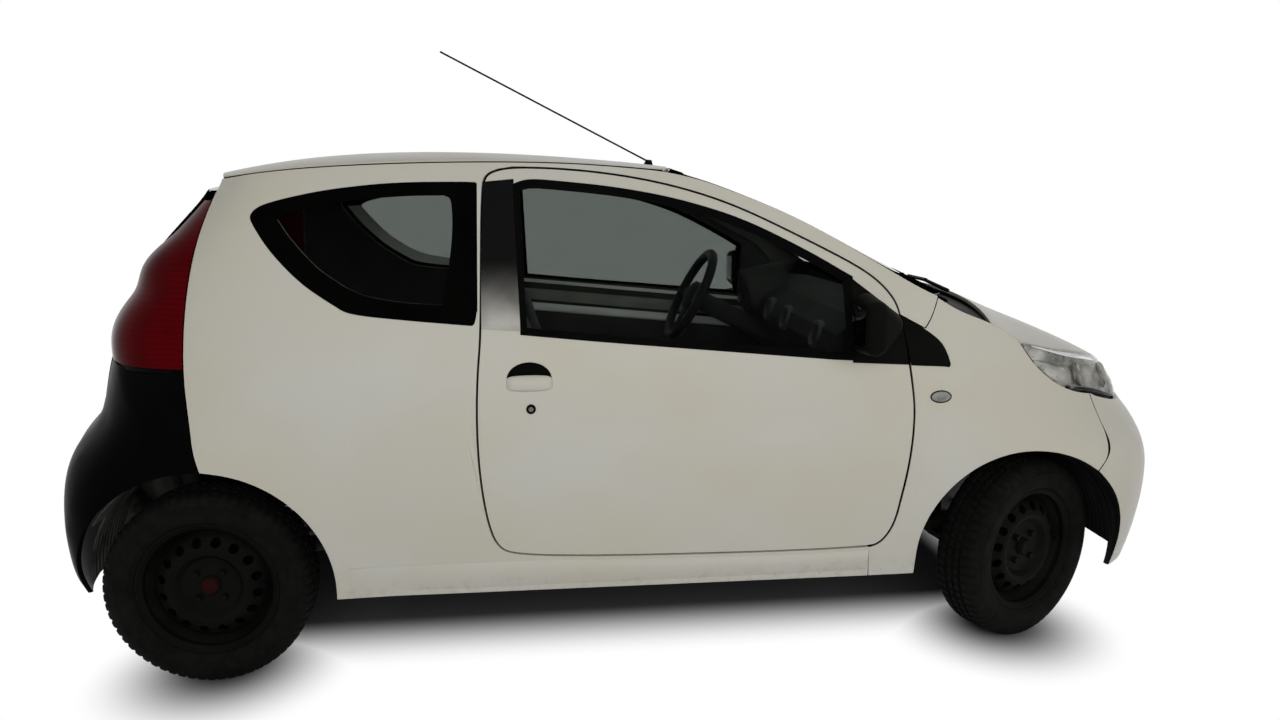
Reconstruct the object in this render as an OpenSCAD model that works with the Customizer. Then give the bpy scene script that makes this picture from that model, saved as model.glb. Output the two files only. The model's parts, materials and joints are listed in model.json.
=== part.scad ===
// City car with three doors: pale panels, black rear bumper, steel wheels, whip antenna.
// Origin on the ground under the middle of the car, X forward, Y to the left, Z up, millimetres.
// The front wheels rest turned to the left, as the car was parked.

/* [Overall] */
// Width over the flanks at the wheel arches
car_w = 1630; // [1600:2:1680]
// Height of the roof crown
roof_z = 1468; // [1445:1:1495]
// Distance between the axles
wheelbase = 2340; // [2300:5:2390]
// Rear axle to the rear end
rear_overhang = 470; // [455:1:490]
// Front axle to the front end
front_overhang = 620; // [560:5:710]
// Distance between the front wheel centres
track_f = 1420; // [1400:2:1430]
// Distance between the rear wheel centres
track_r = 1410; // [1400:2:1430]
// Angle of the front wheels as parked, to the left
steer_rest = 25; // [0:1:30]

/* [Body] */
// Height of the sill's lower edge
sill_z = 222; // [205:1:235]
// Height of the window line at mid length
belt_z = 935; // [920:1:950]
// Gap around doors and lids
shut_gap = 6; // [6:0.5:8]
// Gap between fixed panels
seam_gap = 3; // [2:0.5:5]
// Thickness of the door below the windows
door_t = 72; // [50:1:85]
// Thickness of window frames
frame_t = 34; // [24:1:40]
// Thickness of the rear side wall
wall_t = 45; // [30:1:60]
// Thickness of hood, fenders and bumpers
skin_t = 14; // [10:1:18]
// Thickness of roof with its lining
roof_t = 24; // [16:1:35]
// Thickness of the glass
glass_t = 6; // [4:0.5:8]
// How far the flanks swell around the wheels
flare_h = 8; // [4:1:12]
// Radius of the front wheel arches
arch_f = 327; // [322:1:335]
// Radius of the rear wheel arches
arch_r = 348; // [335:1:355]

/* [Wheels] */
// Radius of the tyres
tyre_r = 278; // [272:1:282]
// Width of the tyres
tyre_w = 155; // [145:1:165]
// Radius of the rim's bead seat
seat_r = 178; // [176:1:180]
// Number of holes around the wheel disc
vent_n = 16; // [8:1:20]
// Radius of these holes
vent_r = 13; // [9:0.5:14]
// Radius of the ring of these holes
vent_ring = 128; // [124:1:132]
// Radius of the ring of wheel bolts
nut_ring = 50; // [46:0.5:50]
// Radius of the wheel bolts' holes
bolt_r = 9; // [7:0.5:10]
// Inboard offset of the steering pivot
pivot_in = 60; // [55:1:70]
// Radius of the stub axles
stub_r = 20; // [16:1:22]

/* [Cabin] */
// Radius of the steering wheel
helm_r = 180; // [165:1:190]
// Width of a front seat
seat_w = 480; // [440:5:500]
// Length of the antenna rod
whip_l = 780; // [500:10:800]

/* [Hidden] */

car_l = rear_overhang + wheelbase + front_overhang;
rear_x = -car_l / 2 + rear_overhang;
front_x = rear_x + wheelbase;
drawn_front = 620;
drawn_base = 2340;
drawn_rear = 470;
flank_w = car_w / 2 - flare_h;
nose_from = fx(-495);
tail_from = rx(545);
pivot_y = track_f / 2 - pivot_in;
well_f = track_f / 2 - 262;
well_r = track_r / 2 - 257;
floor_w = min(well_f, well_r) - 2;
hub_in = track_r / 2 - 75;
engine_w = well_f - 118;
muffler_w = well_r - 118;
sill_in = 690;
belt_slope = 0.102;

paint = [0.86, 0.86, 0.84];
black = [0.06, 0.06, 0.065];
dark = [0.12, 0.12, 0.13];
pane = [0.25, 0.3, 0.32, 0.45];
metal = [0.55, 0.56, 0.58];

// Small maths helpers
function lerp(a, b, t) = a + (b - a) * t;
function clamp(v, lo = 0, hi = 1) = min(max(v, lo), hi);
function smooth(t) = let (c = clamp(t)) c * c * (3 - 2 * c);
function flat(rows) = [for (r = rows) each r];
function back(p) = [for (i = [len(p) - 1:-1:0]) p[i]];
function tail_of(p) = [for (i = [1:1:len(p) - 1]) p[i]];
function head_of(p) = [for (i = [0:1:len(p) - 2]) p[i]];
// Places along the car from the front and the rear axle, which follow the wheelbase and the overhangs
function fx(d) = front_x + d * (d > 0 ? front_overhang / drawn_front : wheelbase / drawn_base);
function rx(d) = rear_x + d * (d > 0 ? wheelbase / drawn_base : rear_overhang / drawn_rear);
function belt(x) = belt_z - belt_slope * x;

// A smooth graph through [input, value] pairs
function span_of(k, x, i = 0) = i >= len(k) - 2 || x < k[i + 1][0] ? i : span_of(k, x, i + 1);
function slope_at(k, i) =
    let (a = max(i - 1, 0), b = min(i + 1, len(k) - 1)) (k[b][1] - k[a][1]) / (k[b][0] - k[a][0]);
function graph(k, x) =
    let (
        i = span_of(k, x),
        h = k[i + 1][0] - k[i][0],
        t = clamp((x - k[i][0]) / h),
        m0 = slope_at(k, i) * h,
        m1 = slope_at(k, i + 1) * h
    )
    (2 * t * t * t - 3 * t * t + 1) * k[i][1] + (t * t * t - 2 * t * t + t) * m0
    + (3 * t * t - 2 * t * t * t) * k[i + 1][1] + (t * t * t - t * t) * m1;

// A smooth curve through points, cut in n pieces
function curve_at(p, u) =
    let (
        n = len(p) - 1,
        i = min(floor(u), n - 1),
        t = u - i,
        a = p[max(i - 1, 0)],
        b = p[i],
        c = p[i + 1],
        d = p[min(i + 2, n)],
        m0 = i == 0 ? c - b : (c - a) / 2,
        m1 = i == n - 1 ? c - b : (d - b) / 2
    )
    (2 * t * t * t - 3 * t * t + 1) * b + (t * t * t - 2 * t * t + t) * m0
    + (3 * t * t - 2 * t * t * t) * c + (t * t * t - t * t) * m1;
function curve(p, n) = [for (i = [0:n]) curve_at(p, i * (len(p) - 1) / n)];

// Moves a closed outline in the side view outward by d
function edge_normal(a, b) = let (v = b - a) [v[1], -v[0]] / max(norm(v), 0.001);
function widen(p, d) =
    let (n = len(p))
    [for (i = [0:n - 1])
        let (u = edge_normal(p[(i + n - 1) % n], p[i]), v = edge_normal(p[i], p[(i + 1) % n]))
        p[i] + d * (u + v) / max(1 + u * v, 0.4)];

// Faces of a grid of points with an outer and an inner side
function faces_of(nr, nc, off, n_in, loop, walls, hole) =
    let (
        cells = [for (i = [0:nr - 2]) for (j = [0:(loop ? nc - 1 : nc - 2)])
            if (!(i >= hole[0] && i < hole[1] && j >= hole[2] && j < hole[3])) [i, j]],
        o = off,
        q = off + n_in
    )
    concat(
        [for (c = cells) let (k = (c[1] + 1) % nc)
            [o + c[0] * nc + c[1], o + c[0] * nc + k, o + (c[0] + 1) * nc + k, o + (c[0] + 1) * nc + c[1]]],
        [for (c = cells) let (k = (c[1] + 1) % nc)
            [q + c[0] * nc + c[1], q + (c[0] + 1) * nc + c[1], q + (c[0] + 1) * nc + k, q + c[0] * nc + k]],
        walls[0] ? [for (j = [0:(loop ? nc - 1 : nc - 2)]) let (k = (j + 1) % nc)
            [o + k, o + j, q + j, q + k]] : [],
        walls[1] ? [for (j = [0:(loop ? nc - 1 : nc - 2)]) let (k = (j + 1) % nc, b = (nr - 1) * nc)
            [o + b + j, o + b + k, q + b + k, q + b + j]] : [],
        !loop && walls[2] ? [for (i = [0:nr - 2])
            [o + i * nc, o + (i + 1) * nc, q + (i + 1) * nc, q + i * nc]] : [],
        !loop && walls[3] ? [for (i = [0:nr - 2]) let (b = nc - 1)
            [o + (i + 1) * nc + b, o + i * nc + b, q + i * nc + b, q + (i + 1) * nc + b]] : [],
        hole[1] > hole[0] ? concat(
            [for (j = [hole[2]:hole[3] - 1]) let (b = hole[0] * nc)
                [o + b + j, o + b + j + 1, q + b + j + 1, q + b + j]],
            [for (j = [hole[2]:hole[3] - 1]) let (b = hole[1] * nc)
                [o + b + j + 1, o + b + j, q + b + j, q + b + j + 1]],
            [for (i = [hole[0]:hole[1] - 1]) let (b = hole[2])
                [o + (i + 1) * nc + b, o + i * nc + b, q + i * nc + b, q + (i + 1) * nc + b]],
            [for (i = [hole[0]:hole[1] - 1]) let (b = hole[3])
                [o + i * nc + b, o + (i + 1) * nc + b, q + (i + 1) * nc + b, q + i * nc + b]]) : []
    );

// A wall between two grids of points, with its rows turned round where its faces would look inward
module shell(outer, inner, loop = false, hole = [0, 0, 0, 0]) {
    nr = len(outer);
    nc = len(outer[0]);
    i = floor(nr / 2);
    j = floor(nc / 2);
    at = outer[i][j];
    inward = cross(outer[i][j + 1] - at, outer[i + 1][j] - at) * (at - inner[i][j]) > 0;
    polyhedron(
        points = concat(flat(inward ? back(outer) : outer), flat(inward ? back(inner) : inner)),
        faces = faces_of(nr, nc, 0, nr * nc, loop, [true, true, true, true], hole),
        convexity = 8
    );
}

module both_sides() {
    children();
    mirror([0, 1, 0]) children();
}

module rod(a, b, r) {
    v = b - a;
    translate(a)
        rotate([0, acos(v[2] / norm(v)), atan2(v[1], v[0])])
            cylinder(r = r, h = norm(v), $fn = 24);
}

// The flank's half width at a height, then with the taper to nose and tail
function flank(z) =
    z < 620 ? flank_w - 0.00026 * pow(620 - z, 2) : flank_w - 0.0025 * pow(z - 620, 1.706);
function nose_x(z) = car_l / 2 - front_overhang / drawn_front * graph([[150, 45], [200, 30], [280, 15],
    [380, 4], [480, 0], [560, 4], [610, 16], [660, 38], [745, 78], [800, 105], [866, 150], [950, 240],
        [1060, 420]], z);
function nose_n(z) = graph([[150, 8], [480, 8], [600, 7], [660, 5], [745, 4], [1100, 4]], z);
function tail_x(z) = -car_l / 2 + rear_overhang / drawn_rear * graph([[230, 40], [250, 24], [300, 11], [400, 4],
    [500, 0], [570, 3], [620, 5], [645, 9], [670, 20], [700, 46], [725, 70], [760, 80], [800, 88],
    [880, 107], [1000, 150], [1114, 205], [1198, 262], [1322, 377], [1392, 427], [1430, 455]], z);
function tail_n(z) = graph([[240, 14], [300, 16.5], [430, 16.5], [500, 15], [570, 13.5], [620, 11], [670, 8],
    [725, 7], [1430, 7]], z);
function swell(x, z, cx, r) = 1 - smooth((norm([x - cx, z - tyre_r]) - r) / 150);
function flare(x, z) = flare_h * (swell(x, z, front_x, arch_f) + swell(x, z, rear_x, arch_r));
function nose_share(x, z) = clamp((x - nose_from) / (nose_x(z) - nose_from));
function tail_share(x, z) = clamp((tail_from - x) / (tail_from - tail_x(z)));
function half_w(x, z) =
    flank(z) * sqrt(1 - pow(nose_share(x, z), nose_n(z))) * sqrt(1 - pow(tail_share(x, z), tail_n(z)))
    + flare(x, z);
function on_side(p, t = 0) = [p[0], half_w(p[0], p[1]) - t, p[1]];

// Points of the rounded ends by plan angle, zero at the flank and 90 at the middle
function nose_pt(a, z) =
    let (x = nose_from + (nose_x(z) - nose_from) * pow(sin(a), 2 / nose_n(z)))
    [x, (flank(z) + flare(x, z)) * cos(a), z];
function tail_pt(a, z) =
    let (x = tail_from - (tail_from - tail_x(z)) * pow(sin(a), 2 / tail_n(z)))
    [x, (flank(z) + flare(x, z)) * cos(a), z];
function nose_in(a, z, t) =
    let (v = nose_pt(a + 1, z) - nose_pt(max(a - 1, 0.5), z), l = norm([v[0], v[1]]))
    nose_pt(a, z) - t / l * [-v[1], v[0], 0];
function tail_in(a, z, t) =
    let (v = tail_pt(a + 1, z) - tail_pt(max(a - 1, 0.5), z), l = norm([v[0], v[1]]))
    tail_pt(a, z) - t / l * [v[1], -v[0], 0];
function nose_a(x, z) = asin(sqrt(pow(nose_share(x, z), nose_n(z))));
function tail_a(x, z) = asin(sqrt(pow(tail_share(x, z), tail_n(z))));
function across_a(y, z) = acos(clamp(y / flank(z), -1, 1));

// Door shut line in the side view, from the top rear corner down, forward, up and back
door_rear = [[rx(790), roof_z - 69], [rx(771), roof_z - 98], [rx(766), belt_z + 283], [rx(763), belt_z + 47],
    [rx(754), belt_z - 30], [rx(746), belt_z - 163], [rx(747), belt_z - 301], [rx(757), sill_z + 296],
    [rx(775), sill_z + 191], [rx(801), sill_z + 146]];
door_low = [[rx(801), sill_z + 146], [rx(856), sill_z + 124], [rx(1081), sill_z + 110],
    [fx(-970), sill_z + 102], [fx(-674), sill_z + 97], [fx(-469), sill_z + 100]];
door_front = [[fx(-469), sill_z + 100], [fx(-434), sill_z + 112], [fx(-400), sill_z + 169],
    [fx(-387), sill_z + 248], [fx(-370), belt_z - 373], [fx(-359), belt_z - 254], [fx(-359), belt_z - 167],
    [fx(-372), belt_z - 68], [fx(-384), belt_z + 28], [fx(-395), belt_z + 68]];
door_top = [[fx(-395), belt_z + 68], [fx(-407), roof_z - 422], [fx(-448), roof_z - 375],
    [fx(-503), roof_z - 333], [fx(-616), roof_z - 274], [fx(-729), roof_z - 218],
    [fx(-842), roof_z - 165], [fx(-955), roof_z - 124], [fx(-1095), roof_z - 88], [rx(1103), roof_z - 66],
    [rx(990), roof_z - 56], [rx(878), roof_z - 52], [rx(823), roof_z - 57], [rx(790), roof_z - 69]];
n_rear = 11;
n_low = 7;
n_front = 12;
n_top = 16;
shut_line = concat(head_of(curve(door_rear, n_rear)), head_of(curve(door_low, n_low)),
    head_of(curve(door_front, n_front)), head_of(curve(door_top, n_top)));
door_edge = widen(shut_line, -shut_gap / 2);
body_edge = widen(shut_line, shut_gap / 2);
i_low = n_rear;
i_front = n_rear + n_low;
i_top = n_rear + n_low + n_front;
i_end = i_top + n_top;
function part_of(p, a, b) = [for (i = [a:b]) p[i % len(p)]];

// Window opening of the door, matched to the door's outline
pane_rear = [[rx(861), roof_z - 103], [rx(866), roof_z - 250], [rx(875), belt_z + 38]];
pane_low = [[rx(875), belt_z + 38], [rx(1087), belt_z + 16], [fx(-977), belt_z - 10],
    [fx(-535), belt_z - 51]];
pane_front = [[fx(-535), belt_z - 51], [fx(-532), belt_z + 55], [fx(-535), roof_z - 362]];
pane_top = [[fx(-535), roof_z - 362], [fx(-675), roof_z - 283], [fx(-844), roof_z - 203],
    [fx(-1014), roof_z - 150], [rx(1157), roof_z - 117], [rx(989), roof_z - 98], [rx(905), roof_z - 93],
        [rx(861), roof_z - 103]];
door_pane = concat(head_of(curve(pane_rear, n_rear)), head_of(curve(pane_low, n_low)),
    head_of(curve(pane_front, n_front)), head_of(curve(pane_top, n_top)));

// Edge where the side turns into roof, screen and hood, from the rear forward
rail = [[rx(50), roof_z - 84], [rx(245), roof_z - 60], [rx(495), roof_z - 45], [rx(790), roof_z - 39],
    [rx(1045), roof_z - 44], [fx(-1065), roof_z - 62]];
screen_edge = [[fx(-1065), roof_z - 62], [fx(-951), roof_z - 87], [fx(-811), roof_z - 138],
    [fx(-669), roof_z - 199], [fx(-528), roof_z - 275], [fx(-358), roof_z - 376], [fx(-277), roof_z - 416]];
hood_edge = [[fx(-277), roof_z - 416], [fx(-214), belt_z + 78], [fx(-140), belt_z + 51],
    [fx(-81), belt_z + 22], [fx(-23), belt_z - 15]];
function rail_z(x) = graph(rail, x);

// Wheel arch points by angle, zero straight ahead
function front_arch(a) = let (r = arch_f + 26 * pow(max(cos(a), 0), 2)) [front_x + r * cos(a), tyre_r
    + r * sin(a)];
function rear_arch(a) = [rear_x + arch_r * cos(a), tyre_r + arch_r * sin(a)];
sill_end_r = rear_x + sqrt(pow(arch_r, 2) - pow(tyre_r - sill_z - 12, 2));
sill_end_f = front_x - sqrt(pow(arch_f, 2) - pow(tyre_r - sill_z - 4, 2));
rear_a0 = atan2(sill_z + 12 - tyre_r, sill_end_r - rear_x);
front_a0 = 180 + atan2(tyre_r - sill_z - 4, front_x - sill_end_f);

// Quarter panel between door, roof, lamp, bumper, arch and sill
quarter_back = [[rx(24), 625], [rx(8), 680], [rx(2), 750], [rx(-6), 820], [rx(-12), 892], [rx(-12), 993],
    [rx(-7), 1094], [rx(5), 1196], [rx(20), 1274], [rx(37), roof_z - 129], [rx(50), roof_z - 84]];
i_foot = i_low - 2;
q_sill = [for (i = [0:5]) [lerp(rx(645), sill_end_r, i / 5), lerp(sill_z + 9, sill_z + 12, i / 5)]];
n_border = 3;
q_border = [for (i = [0:n_border]) lerp(body_edge[i_foot], q_sill[0], i / n_border)];
q_arch = [for (i = [0:10]) rear_arch(lerp(rear_a0, 86, i / 10))];
q_back = curve([for (i = [0:len(quarter_back) - 1]) i == 0 ? rear_arch(86) : quarter_back[i]], 11);
q_rail = [for (i = [0:9]) let (x = lerp(rx(50), body_edge[0][0], i / 9)) [x, rail_z(x)]];
q_top = [for (i = [0:2]) lerp(q_rail[9], body_edge[0], i / 2)];
quarter_rim = concat(head_of(part_of(body_edge, 0, i_foot)), head_of(q_border), head_of(q_sill),
    head_of(q_arch),
    head_of(q_back), head_of(q_rail), head_of(q_top));
n_q1 = 4;
n_q2 = i_foot - n_q1 + n_border + 5 + 10;
n_q3 = 11;
n_q4 = 11;
light_front = [[rx(757), roof_z - 92], [rx(757), roof_z - 112], [rx(756), roof_z - 250],
    [rx(754), belt_z + 56]];
light_low = [[rx(754), belt_z + 56], [rx(552), belt_z + 76], [rx(421), belt_z + 94], [rx(369), belt_z + 120]];
light_back = [[rx(369), belt_z + 120], [rx(291), belt_z + 174], [rx(211), belt_z + 255],
    [rx(162), belt_z + 325], [rx(152), roof_z - 184], [rx(160), roof_z - 168]];
light_top = [[rx(160), roof_z - 168], [rx(190), roof_z - 150], [rx(285), roof_z - 126],
    [rx(389), roof_z - 108], [rx(549), roof_z - 93], [rx(757), roof_z - 92]];
quarter_pane = concat(head_of(curve(light_front, n_q1)), head_of(curve(light_low, n_q2)),
    head_of(curve(light_back, n_q3)), head_of(curve(light_top, n_q4)));

ring_share = [0, 0.07, 0.28, 0.54, 0.8, 0.94, 1];
function ring(a, b) = [for (s = ring_share) [for (j = [0:len(a) - 1]) lerp(a[j], b[j], s)]];
function lift(g, t) = [for (r = g) [for (p = r) on_side(p, t)]];
function door_depth(p) = lerp(door_t, frame_t, smooth((p[1] - belt(p[0]) + 70) / 80));
function wall_depth(p) = lerp(wall_t, frame_t, smooth((p[1] - belt(p[0]) + 20) / 120));

module door() {
    g = ring(door_edge, door_pane);
    color(paint)
        shell(lift(g, 0), [for (r = g) [for (p = r) on_side(p, door_depth(p))]], loop = true);
}

module door_glass() {
    g = [for (s = [0, 0.33, 0.66, 1])
        [for (j = [0:10]) let (t = lerp(0.004, 0.996, j / 10), a = curve_at(pane_low, t * 3),
            b = curve_at(back(pane_top), t * 7)) lerp(a, b, lerp(0.006, 0.994, s))]];
    color(pane)
        shell(lift(g, 6), lift(g, 6 + glass_t));
}

module quarter_light() {
    g = [for (s = [0, 0.25, 0.5, 0.75, 1])
        [for (j = [0:11])
            let (
                t = lerp(0.004, 0.996, j / 11),
                low = curve_at(concat(light_low, tail_of(light_back)), t * 8),
                top = curve_at(back(light_top), t * 5)
            )
            lerp(low, top, lerp(0.014, 0.986, s))]];
    color(pane)
        shell(lift(g, 3), lift(g, 3 + glass_t));
}

// Quarter panel, sill and roof rail are one piece
// The pillar's foot reaches forward over the fender as far as this
foot_at = [fx(-322), belt_z + 31];
foot_bow = [fx(-299), belt_z + 60];
module body_side() {
    q = ring(quarter_rim, quarter_pane);
    q_out = lift(q, 0);
    q_in = [for (r = q) [for (p = r) on_side(p, wall_depth(p))]];
    low = part_of(body_edge, i_foot, i_front);
    sill_n = len(low) - 1;
    sill_far = [fx(-462), sill_z];
    sill_g = [for (i = [0:n_border])
        [for (j = [0:sill_n])
            lerp(low[j], lerp(q_sill[0], sill_far, j / sill_n), i / n_border)]];
    high = concat([foot_at], part_of(body_edge, i_top, i_end));
    edge = concat(head_of(back(curve(screen_edge, 11))), [for (i = [0:6])
        let (x = lerp(fx(-1065), body_edge[0][0], i / 6)) [x, rail_z(x)]]);
    rail_g = [for (i = [0:2]) [for (j = [0:n_top + 1])
        i == 1 && j == 0 ? foot_bow : lerp(edge[j], high[j], i / 2)]];
    color(paint) {
        shell(q_out, q_in, loop = true);
        shell(lift(sill_g, 0), [for (r = sill_g) [for (p = r) [p[0], sill_in, p[1]]]]);
        shell(lift(rail_g, 0), lift(rail_g, frame_t));
    }
}

// Front fender: a fan from the wheel arch out to door, screen, hood and lamp
lamp_low = [[fx(-23), belt_z - 18], [fx(5), belt_z - 63], [fx(48), belt_z - 108], [fx(107), belt_z - 149],
    [fx(177), belt_z - 177], [fx(240), belt_z - 190]];
seam_low = front_arch(49);
seam_high = [fx(240), belt_z - 190];
seam_bow = [[0, 0], [0.25, 40], [0.68, 20], [1, 0]];
function seam_x(z) =
    let (s = (z - seam_low[1]) / (seam_high[1] - seam_low[1]))
    lerp(seam_low[0], seam_high[0], s) + graph(seam_bow, s);
module fender() {
    door_side = part_of(body_edge, i_front, i_top);
    pillar = [body_edge[i_top], (body_edge[i_top] + foot_at) / 2, foot_at, foot_bow];
    top = concat(head_of(door_side), pillar, head_of(curve(hood_edge, 6)), curve(lamp_low, 8));
    n = len(top) - 1;
    low = concat([for (i = [0:4]) lerp([fx(-462) + seam_gap, sill_z], [sill_end_f, sill_z + 4], i / 5)],
        [for (i = [0:n - 5]) front_arch(lerp(front_a0, 49, pow(i / (n - 5), 0.66)))]);
    g = [for (s = [1, 0.93, 0.72, 0.48, 0.22, 0.06, 0])
        [for (j = [0:n]) lerp(low[j], top[j], 0.99 * s) + [graph(seam_bow, 0.99 * s) * smooth((j - n
            + 9) / 9), 0]]];
    color(paint)
        shell(lift(g, 0), [for (i = [0:len(g) - 1]) [for (p = g[i]) on_side(p, i == 0 ? 4 : skin_t)]]);
}

// Surfaces that span the car: edge point, middle point and how the section rises
cross_s = [for (k = [-6:6]) sin(15 * k)];
function across(e, c, s, rise) =
    [lerp(c[0], e[0], s * s), s * e[1], e[2] + (c[1] - e[2]) * pow(1 - pow(abs(s), rise[0]), rise[1])];
function lower(g, t) = [for (r = g) [for (p = r) p - [0, 0, t]]];
roof_mid = [[rx(-38), roof_z - 63], [rx(195), roof_z - 21], [rx(495), roof_z], [rx(875), roof_z - 5],
    [fx(-1095), roof_z - 31], [fx(-985), roof_z - 46]];
screen_mid = [[fx(-985), roof_z - 46], [fx(-700), roof_z - 150], [fx(-350), roof_z - 315],
    [fx(-27), roof_z - 468]];

module roof() {
    n = 10;
    g = [for (i = [0:n])
        let (
            x = lerp(rx(54), fx(-1062), i / n),
            e = on_side([x, rail_z(x) + 6]),
            m = curve_at(roof_mid, lerp(0.02, 4.98, i / n))
        )
        [for (s = cross_s) across(e, m, s, [3, 0.62])]];
    under = [for (i = [0:n]) [for (k = [0:12])
        let (p = g[i][k]) [p[0], p[1], abs(k - 6) > 4 ? max(p[2] - roof_t, g[i][0][2] - 3) : p[2] - roof_t]]];
    color(paint)
        shell(g, under);
}

module windscreen() {
    n = 8;
    g = [for (i = [0:n])
        let (
            e2 = curve_at(screen_edge, lerp(0.17, 5.9, i / n)),
            e = on_side(e2, frame_t + seam_gap),
            m = curve_at(screen_mid, lerp(0.02, 2.97, i / n))
        )
        [for (s = cross_s) across(e, m, s, [2, 1])]];
    color(pane)
        shell(g, lower(g, glass_t));
}

function hood_e(u) =
    let (
        a = [for (i = [0:2]) let (x = [fx(-112), fx(-66), fx(-23)][i]) on_side([x, graph(hood_edge, x)])],
        b = [[fx(85), 712, 893], [fx(205), 634, 868], [fx(335), 528, 834], [fx(445), 400, 796]]
    )
    curve_at(concat(a, b), u);
hood_mid = [[fx(13), roof_z - 462], [fx(150), 948], [fx(303), 888], [fx(450), 824], [fx(542), 776]];
module hood() {
    n = 9;
    g = [for (i = [0:n])
        let (
            e = hood_e(lerp(0.06, 6, i / n)) - [0, shut_gap + 6, 0],
            m = curve_at(hood_mid, 4 * i / n)
        )
        [for (s = cross_s) across(e, m, s, [2.2, 0.9])]];
    color(paint)
        shell(g, lower(g, skin_t));
}

module cowl() {
    a = on_side([fx(-270), roof_z - 422]);
    b = on_side([fx(-121), graph(hood_edge, fx(-121))]);
    am = [fx(-20), roof_z - 472];
    bm = [fx(1), roof_z - 470];
    g = [for (i = [0:2])
        [for (s = cross_s) lerp(across(a, am, s * 0.985, [2, 1]), across(b, bm, s * 0.985, [2.2, 0.9]), i / 2)
            - [0, 0, 13]]];
    color(black)
        shell(g, lower(g, 16));
}

// Tailgate: one large pane between the lamps
function lamp_in(z) = graph([[700, 500], [885, 515], [1000, 520], [1100, 518], [1200, 512], [1300, 505],
    [1420, 488]], z);
function lid_z(i, k, n) = lerp(roof_z - 116, 716, i / n) + (1 - abs(k) / 6) * lerp(14, -6, i / n);
function lid_pt(i, k, n, t) =
    let (z = lid_z(i, k, n), a0 = across_a(lamp_in(z) - shut_gap - 2, z))
    t == 0 ? tail_pt(90 + k * (90 - a0) / 6, z) : tail_in(90 + k * (90 - a0) / 6, z, t);
module tailgate() {
    n = 10;
    color(pane)
        shell([for (i = [0:n]) [for (k = [-6:6]) lid_pt(i, k, n, 0)]],
            [for (i = [0:n]) [for (k = [-6:6]) lid_pt(i, k, n, 22)]]);
}

function lamp_swell(z) =
    z < 1085 ? 26 * sin(180 * clamp((z - 885) / 200)) : 22 * sin(180 * clamp((z - 1085) / 145));
module tail_lamp() {
    n = 14;
    g = [for (i = [0:n])
        let (z = lerp(892, 1325, i / n), a = tail_a(back_x(z) - seam_gap, z), b = across_a(lamp_in(z), z))
        [for (j = [0:6]) tail_pt(lerp(a, b, j / 6), z) + lamp_swell(z) * smooth(j / 4) * [-1, 0.3 - j / 20,
            0]]];
    color([0.45, 0.03, 0.04])
        shell(g, [for (r = g) [for (j = [0:6]) r[j] + lerp([0, -42, 0], [46, 0, 0], j / 6)]]);
}

module headlamp() {
    n = 9;
    low = concat([for (p = [[fx(-18), belt_z - 24], [fx(10), belt_z - 66], [fx(52), belt_z - 106],
        [fx(110), belt_z - 146], [fx(178), belt_z - 172], [fx(236), belt_z - 182]]) on_side(p)],
        [for (p = [[652, 737], [582, 703], [490, 696], [408, 748]]) nose_pt(across_a(p[0], p[1]), p[1])]);
    g = [for (s = [0, 0.25, 0.5, 0.75, 1])
        [for (j = [0:12])
            let (a = curve_at(low, 9 * j / 12), b = hood_e(2.2 + 3.78 * j / 12) + [0, 1, -3])
            lerp(a, b, s) + [22, 22, 6] * (4 * s * (1 - s)) * sin(15 * j)]];
    color([0.8, 0.83, 0.86])
        shell(g, [for (i = [0:4]) [for (j = [0:12])
            g[i][j] + lerp(lerp([0, -30, -34], [-45, 0, 0], smooth(j / 9)), [0, -2, -40], i / 4)]]);
}

// Front bumper with its mouth
function fb_low(j) = j < 6 ? let (p = front_arch(lerp(48.3, -14, j / 6))) [nose_a(p[0], p[1]), p[1]]
    : let (u = (j - 6) / 10, p = front_arch(-14)) [lerp(nose_a(p[0], p[1]), 90, u), lerp(p[1], 190,
        smooth(u * 3))];
fb_top_pts = [[690, 738], [660, 723], [610, 702], [530, 684], [450, 690], [405, 728], [300, 757],
    [150, 754], [0, 750]];
function fb_top(j) = let (p = curve_at(fb_top_pts, j / 2)) j == 0 ? [nose_a(seam_high[0] + seam_gap,
    seam_high[1]), seam_high[1]]
    : [across_a(p[0], p[1]), p[1]];
fb_share = [0, 0.1, 0.24, 0.4, 0.56, 0.72, 0.88, 1];
module front_bumper() {
    half = [for (s = fb_share)
        [for (j = [0:16]) let (p = lerp(fb_low(j), fb_top(j), s))
            j == 0 ? [nose_a(seam_x(p[1]) + seam_gap, p[1]), p[1]] : p]];
    full = [for (r = half) concat(r, [for (j = [15:-1:0]) [180 - r[j][0], r[j][1]]])];
    color(paint)
        shell([for (r = full) [for (p = r) nose_pt(p[0], p[1])]],
            [for (r = full) [for (j = [0:32]) let (a = r[j][0], z = r[j][1])
                j % 32 == 0 ? nose_pt(a, z) - [0, (j == 0 ? 1 : -1) * skin_t, 0] : nose_in(a, z, skin_t)]],
                    hole = [2, 4, 11, 21]);
}

module grille() {
    color(black)
        for (z = [318:34:454])
            translate([0, 0, z])
                linear_extrude(10)
                    polygon(concat([for (a = [46:4:134]) let (p = nose_in(a, 386, 30)) [p[0], p[1]]],
                        [for (a = [134:-4:46]) let (p = nose_in(a, 386, 60)) [p[0], p[1]]]));
    color(black)
        for (y = [-300, 0, 300])
            translate([nose_in(across_a(abs(y), 386), 386, 58)[0] - 14, y - 8, 300])
                cube([16, 16, 170]);
}

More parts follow.
